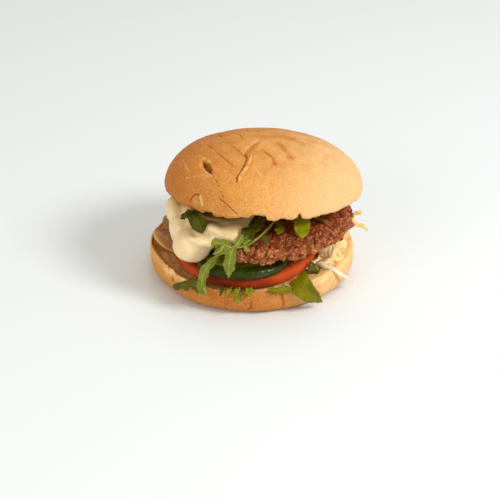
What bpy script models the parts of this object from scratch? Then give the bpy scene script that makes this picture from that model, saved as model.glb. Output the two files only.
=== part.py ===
"""Veggie burger in a round bun, stacked from its real layers.

From the plate up: toasted lower bun, loose shredded cabbage, a bed of salad
leaves, an onion slice, a tomato slice, a cucumber slice, a pickle slice, the
patty, mayonnaise that runs down the left side with a second pickle slice on
it, rocket, and the upper bun, which leans back on the patty.

Lengths are in millimetres until a mesh is finished, and then in metres.
The origin is the middle of the flat underside, +Z is up, -Y is the front.
"""

from math import atan2, cos, exp, hypot, pi, radians, sin, sqrt, tan

import bmesh
import bpy
from mathutils import Matrix, Vector, noise

MM = 0.001
GAP = 0.35              # left between two pieces that touch

# Lower bun
HEEL_RADIUS = 58.3
HEEL_FOOT = 51.5        # radius of the flat underside
HEEL_FACE = 14.2        # height of the toasted cut face
HEEL_RIM = 16.3         # height of the torn rim round it

# Upper bun
CROWN_CENTRE = Vector((6.7, -1.8, 52.6))
CROWN_RADIUS = 55.7
CROWN_RISE = 27.4       # from the widest circle to the top
CROWN_LIP = 1.8         # from the widest circle down to the cut face
CROWN_TILT = 6.5        # degrees, front edge up
CROWN_ROLL = 1.3        # degrees, right edge down

# Patty
PATTY_CENTRE = Vector((8.3, -5.0))
PATTY_RADIUS = 48.8
PATTY_BOTTOM = 29.4
PATTY_TOP = 45.1

# Slices
TOMATO_CENTRE = Vector((-3.7, -14.5))
TOMATO_RADIUS = 41.3
TOMATO_THICKNESS = 7.0
TOMATO_HEIGHT = 18.1    # of its underside, at its centre
TOMATO_SLOPE = tan(radians(2.5))
CUCUMBER_CENTRE = Vector((-5.0, -35.0))
CUCUMBER_HALF_LENGTH = 27.0
CUCUMBER_HALF_WIDTH = 21.6
CUCUMBER_TOP = 29.0
PICKLE_RADIUS = 15.5
SIDE_PICKLE_CENTRE = Vector((-35.5, 1.0))
TOP_PICKLE_CENTRE = Vector((-14.5, -34.0))
PICKLE_THICKNESS = 2.3
ONION_CENTRE = Vector((-42.7, -0.5))
ONION_RADIUS = 13.6
ONION_THICKNESS = 2.0

# Cabbage and leaves
CABBAGE_REACH = 53.0    # from the middle of the bun
LEAF_THICKNESS = 0.75
SHRED_THICKNESS = 1.1

CRUST = ((0.72, 0.42, 0.16), 0.55)
PATTY_BROWN = ((0.20, 0.075, 0.04), 0.6)
TOMATO_RED = ((0.45, 0.07, 0.02), 0.25)
CUCUMBER_GREEN = ((0.04, 0.10, 0.01), 0.25)
PICKLE_OLIVE = ((0.25, 0.17, 0.02), 0.3)
ONION_TAN = ((0.45, 0.25, 0.10), 0.3)
MAYONNAISE = ((0.78, 0.65, 0.40), 0.25)
CABBAGE_WHITE = ((0.85, 0.72, 0.48), 0.4)
LEAF_DARK = ((0.05, 0.10, 0.01), 0.4)
LEAF_LIGHT = ((0.22, 0.26, 0.02), 0.4)


# Small functions for shape

def smooth(start, end, value):
    """Rises smoothly from 0 at start to 1 at end."""
    share = min(max((value - start) / (end - start), 0.0), 1.0)
    return share * share * (3.0 - 2.0 * share)


def mix(low, high, share):
    """The value a share of the way from low to high."""
    return low + (high - low) * share


def hump(value, centre, width):
    """A bell of height 1 at centre."""
    return exp(-((value - centre) / width) ** 2)


def turn(angle, centre, width):
    """A bell of height 1 at a bearing, all in degrees."""
    away = (angle - centre + 180.0) % 360.0 - 180.0
    return exp(-(away / width) ** 2)


def rough(point, grain, seed):
    """Uneven value from -1 to 1, with lumps about grain across."""
    return noise.noise(point / grain + Vector((seed, -seed, 0.5 * seed)))


def between(stops, share):
    """Reads a list of values as one smooth curve over 0 to 1."""
    place = min(max(share, 0.0), 1.0) * (len(stops) - 1)
    low = min(int(place), len(stops) - 2)
    return mix(stops[low], stops[low + 1], smooth(0.0, 1.0, place - low))


def along(points, share):
    """Point on a smooth curve through the points, at a share of its length."""
    count = len(points) - 1
    place = min(max(share, 0.0), 1.0) * count
    step = min(int(place), count - 1)
    t = place - step
    p1 = Vector(points[step])
    p2 = Vector(points[step + 1])
    p0 = Vector(points[step - 1]) if step > 0 else 2.0 * p1 - p2
    p3 = Vector(points[step + 2]) if step + 2 <= count else 2.0 * p2 - p1
    return 0.5 * (2.0 * p1 + (p2 - p0) * t + (2.0 * p0 - 5.0 * p1 + 4.0 * p2 - p3) * t ** 2
                  + (3.0 * p1 - p0 - 3.0 * p2 + p3) * t ** 3)


# The surfaces that the layers share

def tomato_underside(x, y):
    """Height of the tomato's lower face."""
    return TOMATO_HEIGHT + TOMATO_SLOPE * (y - TOMATO_CENTRE.y)


def crown_underside(x, y):
    """Height of the upper bun's cut face."""
    middle = CROWN_CENTRE.z - CROWN_LIP
    back = tan(radians(CROWN_TILT)) * (y - CROWN_CENTRE.y)
    right = tan(radians(CROWN_ROLL)) * (x - CROWN_CENTRE.x)
    return middle - back - right


def rim_height(bearing):
    """Height of the lower bun's rim, pushed up at the left front."""
    raised = 4.0 * turn(bearing, 203.0, 22.0) + 0.8 * turn(bearing, 20.0, 70.0)
    return HEEL_RIM + raised - 0.6 * turn(bearing, 270.0, 35.0)


# Making and finishing bodies

def surface(colour, gloss, name):
    """A plain material of the part's colour."""
    material = bpy.data.materials.new(name)
    material.use_nodes = True
    shader = material.node_tree.nodes["Principled BSDF"]
    shader.inputs["Base Color"].default_value = (*colour, 1.0)
    shader.inputs["Roughness"].default_value = gloss
    shader.inputs["Metallic"].default_value = 0.0
    return material


def finish(name, bm, look):
    """Closes a bmesh in millimetres into a smooth object in metres."""
    bmesh.ops.triangulate(bm, faces=bm.faces[:])
    bmesh.ops.recalc_face_normals(bm, faces=bm.faces[:])
    mesh = bpy.data.meshes.new(name)
    bm.to_mesh(mesh)
    bm.free()
    mesh.transform(Matrix.Scale(MM, 4))
    mesh.shade_smooth()
    mesh.materials.append(surface(*look, name))
    piece = bpy.data.objects.new(name, mesh)
    bpy.context.scene.collection.objects.link(piece)
    return piece


def spun(profile, segments):
    """Closed body turned from a profile whose ends lie on the axis."""
    bm = bmesh.new()
    verts = [bm.verts.new((radius, 0.0, height)) for radius, height in profile]
    edges = [bm.edges.new(pair) for pair in zip(verts, verts[1:])]
    bmesh.ops.spin(bm, geom=verts + edges, cent=(0, 0, 0), axis=(0, 0, 1),
                   angle=2.0 * pi, steps=segments, use_merge=True)
    bmesh.ops.remove_doubles(bm, verts=bm.verts[:], dist=1e-4)
    return bm


def slab(profile, segments, centre, outline, bottom, top):
    """Round slice between two surfaces.

    The profile gives shares of the radius and of the height. outline gives the
    radius at a bearing in degrees, bottom and top give heights at x, y.
    """
    bm = spun(profile, segments)
    for vert in bm.verts:
        share = hypot(vert.co.x, vert.co.y)
        bearing = atan2(vert.co.y, vert.co.x)
        reach = share * outline(bearing * 180.0 / pi)
        x = centre.x + reach * cos(bearing)
        y = centre.y + reach * sin(bearing)
        vert.co = Vector((x, y, mix(bottom(x, y), top(x, y), vert.co.z)))
    return bm


def ribbon(route, half_widths, across, fold=0.0, wave=0.0, thickness=LEAF_THICKNESS, rows=10, columns=4):
    """Thin strip along a route: a leaf with its midrib, or a shred.

    half_widths are read along the route, across holds one or more directions
    of its width on the way, fold lifts both edges, and wave ripples them.
    """
    bm = bmesh.new()
    bmesh.ops.create_grid(bm, x_segments=rows, y_segments=columns, size=1.0)
    for vert in bm.verts:
        share = 0.5 * (vert.co.x + 1.0)
        side = vert.co.y
        middle = along(route, share)
        ahead = (along(route, share + 0.02) - along(route, share - 0.02)).normalized()
        width_way = along(across, share) if len(across) > 1 else Vector(across[0])
        width_way = (width_way - width_way.dot(ahead) * ahead).normalized()
        lift_way = ahead.cross(width_way)
        half = between(half_widths, share)
        lift = fold * abs(side) * half + wave * abs(side) * sin(4.2 * pi * share + 1.3 * side)
        vert.co = middle + side * half * width_way + lift * lift_way
    bmesh.ops.triangulate(bm, faces=bm.faces[:])
    bm.normal_update()
    for vert in bm.verts:
        vert.co += 0.5 * thickness * vert.normal
    bmesh.ops.solidify(bm, geom=bm.faces[:], thickness=thickness)
    return bm


def joined(name, bodies, look, solver="EXACT"):
    """One closed object from bodies that overlap."""
    first = finish(name, bodies[0], look)
    group = bpy.data.collections.new(name + "_pieces")
    bpy.context.scene.collection.children.link(group)
    for index, body in enumerate(bodies[1:]):
        piece = finish(f"{name}_piece_{index}", body, look)
        bpy.context.scene.collection.objects.unlink(piece)
        group.objects.link(piece)
    union = first.modifiers.new("join", "BOOLEAN")
    union.operation = "UNION"
    union.solver = solver
    union.operand_type = "COLLECTION"
    union.collection = group
    graph = bpy.context.evaluated_depsgraph_get()
    whole = bpy.data.meshes.new_from_object(first.evaluated_get(graph))
    first.modifiers.clear()
    first.data = tidied(whole)
    for piece in list(group.objects):
        bpy.data.objects.remove(piece)
    bpy.data.collections.remove(group)
    return first


def tidied(mesh):
    """The mesh of a union without the slivers that it leaves."""
    bm = bmesh.new()
    bm.from_mesh(mesh)
    bmesh.ops.remove_doubles(bm, verts=bm.verts[:], dist=0.004 * MM)
    bmesh.ops.triangulate(bm, faces=bm.faces[:])
    bm.to_mesh(mesh)
    bm.free()
    return mesh


# Buns

def bun_bottom():
    """Lower bun: flat foot, bulging crust, torn rim and sunk toasted face."""
    profile = [(0.0, 0.0), (0.32, 0.0), (0.62, 0.0), (0.84, 0.0), (0.925, 0.06), (0.965, 0.62), (0.98, 1.0),
               (0.995, 0.9), (1.0, 0.68), (0.998, 0.42), (0.98, 0.22), (0.945, 0.08),
               (HEEL_FOOT / HEEL_RADIUS, 0.0), (0.5, 0.0), (0.0, 0.0)]
    face_rows = 5
    bm = spun([(radius, 10.0 * index) for index, (radius, _) in enumerate(profile)], 64)
    for vert in bm.verts:
        row = round(vert.co.z / 10.0)
        share, height_share = profile[row]
        bearing = atan2(vert.co.y, vert.co.x)
        degrees = bearing * 180.0 / pi
        radius = HEEL_RADIUS * share
        rim = rim_height(degrees)
        point = Vector((radius * cos(bearing), radius * sin(bearing), 0.0))
        if row < face_rows:
            uneven = 0.35 * min(rough(point, 9.0, 3.0), 0.6) * smooth(0.0, 0.3, share)
            height = mix(HEEL_FACE + uneven, rim, height_share)
        else:
            height = mix(0.0, rim, height_share)
        if height > 0.0:
            crust = smooth(face_rows - 2, face_rows + 2, row)
            radius += crust * 0.5 * rough(point, 22.0, 8.0)
            radius -= 1.1 * crust * hump(height, 4.0, 5.0) * turn(degrees, 213.0, 14.0)
            radius -= 0.8 * crust * turn(degrees, 286.5, 1.6) * smooth(1.0, 7.0, height)
            radius -= 0.9 * crust * turn(degrees, 268.0, 3.0) * hump(height, 4.0, 4.5)
        vert.co = Vector((radius * cos(bearing), radius * sin(bearing), height))
    return finish("bun_bottom", bm, CRUST)


def bun_top():
    """Upper bun: low dome with a torn wrinkle, a slot and a notched lower edge."""
    rows = 12
    fullness = 0.95
    dome = [(cos(0.5 * pi * step / rows) ** fullness, CROWN_RISE * sin(0.5 * pi * step / rows) ** fullness)
            for step in range(rows)] + [(0.0, CROWN_RISE)]
    under = [(0.992, -0.45 * CROWN_LIP), (0.965, -0.9 * CROWN_LIP), (0.93, -CROWN_LIP), (0.7, -CROWN_LIP),
             (0.4, -CROWN_LIP), (0.0, -CROWN_LIP)]
    profile = [(radius * CROWN_RADIUS, height) for radius, height in reversed(dome)]
    profile += [(radius * CROWN_RADIUS, height) for radius, height in under]
    bm = spun(profile, 56)
    wrinkle = [edge for edge in bm.edges if in_wrinkle(0.5 * (edge.verts[0].co + edge.verts[1].co))]
    bmesh.ops.subdivide_edges(bm, edges=wrinkle, cuts=1, use_grid_fill=True)
    for vert in bm.verts:
        point = vert.co.copy()
        steepness = (CROWN_RADIUS / CROWN_RISE) ** 2
        out = Vector((point.x, point.y, point.z * steepness)).normalized()
        if point.z > -0.95 * CROWN_LIP:
            swell = 0.35 * rough(point, 26.0, 5.0) * smooth(-1.0, 8.0, point.z)
            vert.co += out * (crown_relief(point) + swell)
        degrees = atan2(point.y, point.x) * 180.0 / pi
        edge = smooth(0.88, 0.99, hypot(point.x, point.y) / CROWN_RADIUS) * (1.0 - smooth(1.0, 6.0, point.z))
        bite = turn(degrees, 258.0, 3.5) + 0.8 * turn(degrees, 288.0, 2.5) + 0.6 * turn(degrees, 225.0, 4.0)
        vert.co.z += edge * (2.1 * bite + 1.1 * rough(point, 7.0, 12.0))
    crown = finish("bun_top", bm, CRUST)
    crown.location = CROWN_CENTRE * MM
    crown.rotation_euler = (radians(-CROWN_TILT), radians(CROWN_ROLL), 0.0)
    return crown


CRACK = ((-4.0, -6.0), (-11.0, -18.5), (-10.3, -25.5), (-11.0, -32.5), (-15.4, -38.5), (-15.0, -42.5))
FLAP = ((-2.5, -9.0), (-7.8, -19.5), (-8.0, -31.0), (-13.0, -38.5), (-13.8, -42.5))
SLOT = ((-33.4, -20.0), (-29.0, -33.3))
TEAR = ((-39.7, -38.0), (-34.0, -40.5))


def in_wrinkle(point):
    """Whether a point of the dome lies close to its torn wrinkle or slot."""
    near = min(off_line(point, CRACK), off_line(point, FLAP), off_line(point, SLOT) + 1.0)
    return point.z > 3.0 and near < 4.0


def off_line(point, line):
    """Level distance from a point to a line of x, y points."""
    best = 1e9
    for start, end in zip(line, line[1:]):
        start = Vector(start)
        end = Vector(end)
        step = end - start
        share = min(max((point.xy - start).dot(step) / step.length_squared, 0.0), 1.0)
        best = min(best, (point.xy - start - share * step).length)
    return best


def crown_relief(point):
    """Height of the raised flap, crack, slot and tear above the plain dome."""
    if point.z < 0.0:
        return 0.0
    ridge = 1.0 * hump(off_line(point, FLAP), 0.0, 2.4)
    crack = -0.7 * hump(off_line(point, CRACK), 0.0, 1.5)
    slot = -1.4 * hump(off_line(point, SLOT), 0.0, 1.8)
    tear = -0.9 * hump(off_line(point, TEAR), 0.0, 2.5)
    return ridge + crack + slot + tear


# Patty and slices

def patty_outline(bearing):
    """Radius of the patty at a bearing."""
    return PATTY_RADIUS * (1.0 - 0.012 * turn(bearing, 60.0, 30.0) - 0.014 * turn(bearing, 160.0, 25.0)
                           - 0.01 * turn(bearing, 322.0, 7.0))


def patty():
    """Patty with a pressed top and a craggy, crumbly side."""
    profile = [(0.0, 1.0), (0.25, 1.0), (0.5, 1.0), (0.72, 1.0), (0.88, 0.99), (0.955, 0.91), (0.99, 0.75),
               (1.0, 0.55), (0.993, 0.35), (0.97, 0.16), (0.92, 0.04), (0.78, 0.0), (0.45, 0.0), (0.0, 0.0)]
    bm = slab(profile, 72, PATTY_CENTRE, patty_outline, lambda x, y: PATTY_BOTTOM, lambda x, y: PATTY_TOP)
    middle = Vector((PATTY_CENTRE.x, PATTY_CENTRE.y, 0.5 * (PATTY_BOTTOM + PATTY_TOP)))
    for vert in bm.verts:
        arm = vert.co - middle
        level = Vector((arm.x, arm.y, 0.0))
        if level.length < 1.0:
            continue
        side = smooth(0.7, 0.97, level.length / PATTY_RADIUS)
        crag = abs(rough(vert.co, 6.5, 21.0)) + 0.6 * abs(rough(vert.co, 3.2, 31.0))
        vert.co -= level.normalized() * side * 4.2 * crag
        sink = (0.25 + 0.9 * side) * abs(rough(vert.co, 7.0, 41.0))
        vert.co.z -= sink if arm.z > 0.0 else -0.6 * sink
    return finish("patty", bm, PATTY_BROWN)


ROUND_EDGE = [(0.0, 1.0), (0.6, 1.0), (0.955, 0.98), (0.99, 0.82), (1.0, 0.5), (0.99, 0.18), (0.955, 0.02),
              (0.6, 0.0), (0.0, 0.0)]
THIN_EDGE = [(0.0, 1.0), (0.6, 1.0), (0.93, 1.0), (1.0, 0.6), (0.985, 0.1), (0.9, 0.0), (0.5, 0.0),
             (0.0, 0.0)]


def tomato_slice():
    """Thick tomato slice, a little lower at the front."""
    def outline(bearing):
        uneven = 0.006 * sin(radians(3.0 * bearing)) + 0.004 * sin(radians(5.0 * bearing + 40.0))
        return TOMATO_RADIUS * (1.0 + uneven)
    bm = slab(ROUND_EDGE, 48, TOMATO_CENTRE, outline, tomato_underside,
              lambda x, y: tomato_underside(x, y) + TOMATO_THICKNESS)
    return finish("tomato_slice", bm, TOMATO_RED)


def cucumber_slice():
    """Slanted cucumber slice on the tomato, flush with its front."""
    def outline(bearing):
        level = radians(bearing)
        return 1.0 / sqrt((cos(level) / CUCUMBER_HALF_LENGTH) ** 2 + (sin(level) / CUCUMBER_HALF_WIDTH) ** 2)
    bm = slab(ROUND_EDGE, 36, CUCUMBER_CENTRE, outline,
              lambda x, y: tomato_underside(x, y) + TOMATO_THICKNESS + GAP,
              lambda x, y: CUCUMBER_TOP)
    return finish("cucumber_slice", bm, CUCUMBER_GREEN)


def pickle_slice_side():
    """Pickle slice between tomato and patty, its edge out at the left."""
    bm = slab(THIN_EDGE, 28, SIDE_PICKLE_CENTRE, lambda bearing: PICKLE_RADIUS,
              lambda x, y: PATTY_BOTTOM - GAP - PICKLE_THICKNESS + 0.25 * sin(0.5 * x),
              lambda x, y: PATTY_BOTTOM - GAP)
    return finish("pickle_slice_side", bm, PICKLE_OLIVE)


def pickle_slice_top():
    """Pickle slice under the front left edge of the upper bun."""
    bm = slab(THIN_EDGE, 32, TOP_PICKLE_CENTRE,
              lambda bearing: PICKLE_RADIUS + 1.5 * sin(radians(2.0 * bearing)),
              lambda x, y: crown_underside(x, y) - 0.9 - PICKLE_THICKNESS,
              lambda x, y: crown_underside(x, y) - 0.9 + 0.15 * sin(0.6 * x))
    return finish("pickle_slice_top", bm, PICKLE_OLIVE)


def onion_slice():
    """Onion slice on the toasted face, its left edge lifted by the rim."""
    def height(x, y):
        return HEEL_FACE + 0.75 + 4.2 * smooth(-44.0, -56.5, x) + 0.3 * smooth(-40.0, -30.0, x)
    bm = slab(THIN_EDGE, 36, ONION_CENTRE, lambda bearing: ONION_RADIUS, height,
              lambda x, y: height(x, y) + mix(1.5, ONION_THICKNESS, smooth(-40.0, -50.0, x)))
    return finish("onion_slice", bm, ONION_TAN)


# Mayonnaise

SAUCE_START = 148.0     # bearings about the patty's centre, degrees
SAUCE_END = 255.0


def sauce_drop(bearing):
    """Lowest height of the mayonnaise at a bearing."""
    lobe = smooth(178.0, 203.0, bearing) * (1.0 - smooth(224.0, 245.0, bearing))
    return PATTY_TOP + 0.5 - 20.3 * lobe - 3.0 * (1.0 - lobe) * (1.0 - smooth(228.0, 240.0, bearing))


def sauce():
    """Mayonnaise poured on the patty, over its edge and down the left front."""
    columns = 22
    rows = 17
    bm = bmesh.new()
    bmesh.ops.create_grid(bm, x_segments=columns, y_segments=rows, size=1.0)
    for vert in bm.verts:
        vert.co = Vector((0.5 * (vert.co.x + 1.0), 0.5 * (vert.co.y + 1.0), 0.0))
    outer = bm.faces[:]
    copy = bmesh.ops.duplicate(bm, geom=bm.verts[:] + bm.edges[:] + bm.faces[:])
    inner = [item for item in copy["geom"] if isinstance(item, bmesh.types.BMVert)]
    inner_set = set(inner)
    for vert in bm.verts:
        place, way, thick = sauce_point(vert.co.x, vert.co.y)
        vert.co = place + (Vector((0.0, 0.0, 0.0)) if vert in inner_set else way * thick)
    bmesh.ops.reverse_faces(bm, faces=outer)
    rims = [edge for edge in bm.edges if edge.is_boundary]
    bmesh.ops.bridge_loops(bm, edges=rims)
    ceiling_gap = 0.5
    for vert in bm.verts:
        roof = crown_underside(vert.co.x, vert.co.y) - ceiling_gap
        away = (vert.co.xy - TOP_PICKLE_CENTRE).length
        roof -= (PICKLE_THICKNESS + 1.1) * (1.0 - smooth(PICKLE_RADIUS + 1.8, PICKLE_RADIUS + 3.2, away))
        vert.co.z = min(vert.co.z, roof)
    return finish("sauce", bm, MAYONNAISE)


def cucumber_edge(bearing):
    """Distance from the patty's centre to the far edge of the cucumber."""
    level = Vector((cos(radians(bearing)), sin(radians(bearing))))
    arm = PATTY_CENTRE - CUCUMBER_CENTRE
    axes = Vector((CUCUMBER_HALF_LENGTH ** -2, CUCUMBER_HALF_WIDTH ** -2))
    square = axes.x * level.x ** 2 + axes.y * level.y ** 2
    linear = axes.x * level.x * arm.x + axes.y * level.y * arm.y
    rest = axes.x * arm.x ** 2 + axes.y * arm.y ** 2 - 1.0
    under_root = linear ** 2 - square * rest
    return (-linear + sqrt(under_root)) / square if under_root > 0.0 else 0.0


def sauce_point(round_share, run_share):
    """Inner point, outward way and thickness of the mayonnaise.

    round_share runs from the left side to the front, and run_share from the
    middle of the patty's top over its edge and down.
    """
    bearing = mix(SAUCE_START, SAUCE_END, round_share)
    level = Vector((cos(radians(bearing)), sin(radians(bearing)), 0.0))
    middle = Vector((PATTY_CENTRE.x, PATTY_CENTRE.y, 0.0))
    radius = patty_outline(bearing) + GAP
    corner = 4.0
    floor = PATTY_TOP + GAP
    start = mix(20.0, 16.0, round_share)
    flat = radius - corner - start
    bend = 0.5 * pi * corner
    fall = max(floor - corner - sauce_drop(bearing), 0.5)
    run = run_share * (flat + bend + fall)
    if run < flat:
        place = middle + level * (start + run)
        place.z = floor
        way = Vector((0.0, 0.0, 1.0))
    elif run < flat + bend:
        angle = (run - flat) / corner
        place = middle + level * (radius - corner + corner * sin(angle))
        place.z = floor - corner + corner * cos(angle)
        way = level * sin(angle) + Vector((0.0, 0.0, cos(angle)))
    else:
        height = floor - corner - (run - flat - bend)
        clear = max(cucumber_edge(bearing) + 2.0 * GAP - radius, 0.0)
        place = middle + level * (radius + clear * smooth(CUCUMBER_TOP + 5.0, CUCUMBER_TOP + 0.8, height))
        place.z = height
        way = level.copy()
    edge = min(run_share, 1.0 - run_share) * (flat + bend + fall)
    side = min(round_share, 1.0 - round_share) * radians(SAUCE_END - SAUCE_START) * (start + run * 0.6)
    pushed = (place.xy - PATTY_CENTRE).length - radius
    rounding = sqrt(max(1.0 - (1.0 - min(min(edge, side) / 6.0, 1.0)) ** 2, 0.0))
    full = 4.2 + 2.8 * turn(bearing, 215.0, 15.0) + 2.4 * turn(bearing, 189.0, 12.0)
    ripple = 0.9 * sin(0.33 * run + 0.06 * bearing) + 0.8 * rough(place, 9.0, 51.0)
    return place, way, 0.7 + rounding * (full + ripple - 0.7 * max(pushed, 0.0))


# Cabbage

def cabbage_height(bearing):
    """Share of the full height that the cabbage fills, at a bearing about the tomato's centre."""
    return smooth(-16.0, -4.0, bearing) * (1.0 - smooth(116.0, 127.0, bearing))


def cabbage_reach(bearing):
    """Radius of the cabbage about the tomato's centre."""
    open_side = smooth(-38.0, -24.0, bearing) * (1.0 - smooth(127.0, 136.0, bearing))
    narrow = 33.0 - 8.0 * turn(bearing, 159.0, 26.0)
    level = Vector((cos(radians(bearing)), sin(radians(bearing))))
    along_level = TOMATO_CENTRE.dot(level)
    to_circle = -along_level + sqrt(along_level ** 2 - TOMATO_CENTRE.length_squared + CABBAGE_REACH ** 2)
    return mix(narrow, max(to_circle, TOMATO_RADIUS + 4.0), open_side)


def cabbage_salad():
    """Shredded cabbage heaped under the tomato, higher behind and at the right."""
    step = TOMATO_RADIUS + 1.1
    rows = ["pole", "inner", "middle", "step_low", "step_high", "shoulder", "brow", "belly", "foot", "base",
            "pole_low"]
    bm = spun([(0.0 if row.startswith("pole") else 1.0, 10.0 * index) for index, row in enumerate(rows)], 48)
    for vert in bm.verts:
        row = rows[round(vert.co.z / 10.0)]
        bearing = atan2(vert.co.y, vert.co.x) * 180.0 / pi
        if bearing < -90.0:
            bearing += 360.0
        level = Vector((cos(radians(bearing)), sin(radians(bearing))))
        reach = cabbage_reach(bearing)
        fill = cabbage_height(bearing)
        radius = {"pole": 0.0, "inner": 0.4 * reach, "middle": min(0.7 * reach, step - 6.0),
                  "step_low": min(step - 0.45, 0.86 * reach), "step_high": min(step + 0.3, 0.9 * reach),
                  "shoulder": mix(0.94 * reach, reach - 2.5, fill),
                  "brow": mix(0.97 * reach, reach - 0.8, fill), "belly": reach, "foot": reach - 1.2,
                  "base": 0.6 * reach, "pole_low": 0.0}[row]
        place = TOMATO_CENTRE + level * radius
        uneven = rough(Vector((place.x, place.y, 0.0)), 5.0, 61.0)
        under_tomato = tomato_underside(place.x, place.y) - GAP - 0.1
        under_patty = PATTY_BOTTOM - GAP - 0.2 - 0.8 * abs(uneven)
        top = mix(under_tomato, under_patty, fill)
        floor = HEEL_FACE + 0.65
        height = {"step_high": top, "shoulder": mix(under_tomato, top - 0.7, fill),
                  "brow": mix(floor, top, 0.78), "belly": mix(floor, top, 0.42), "foot": floor, "base": floor,
                  "pole_low": floor}.get(row, under_tomato)
        if row in ("brow", "belly", "foot") and fill > 0.5:
            place += level * 1.1 * rough(Vector((place.x, place.y, height)), 6.0, 71.0)
        vert.co = Vector((place.x, place.y, height))
    heap = [bm]
    for index, bearing in enumerate((358.0, 14.0, 34.0, 56.0, 78.0, 98.0)):
        heap.append(wall_shred(bearing, 1 if index % 2 else -1))
    return joined("cabbage_salad", heap, CABBAGE_WHITE)


def wall_shred(bearing, slant):
    """One strip of cabbage that lies along the outer wall of the heap."""
    route = []
    for share in (0.0, 0.35, 0.7, 1.0):
        level = radians(bearing + 15.0 * (share - 0.5))
        height = 21.5 + slant * 8.0 * (share - 0.5)
        out = CABBAGE_REACH + 0.9 - 1.2 * abs(share - 0.5)
        route.append((out * cos(level), out * sin(level), height))
    return ribbon(route, (1.0, 1.5, 1.2), [(0.0, 0.0, 1.0)], thickness=2.2, rows=5, columns=1)


# Leaves and loose shreds

def leaf(name, ribbons, look):
    """A leaf of one or more lobes."""
    if len(ribbons) == 1:
        return finish(name, ribbons[0], look)
    return joined(name, ribbons, look)


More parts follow.
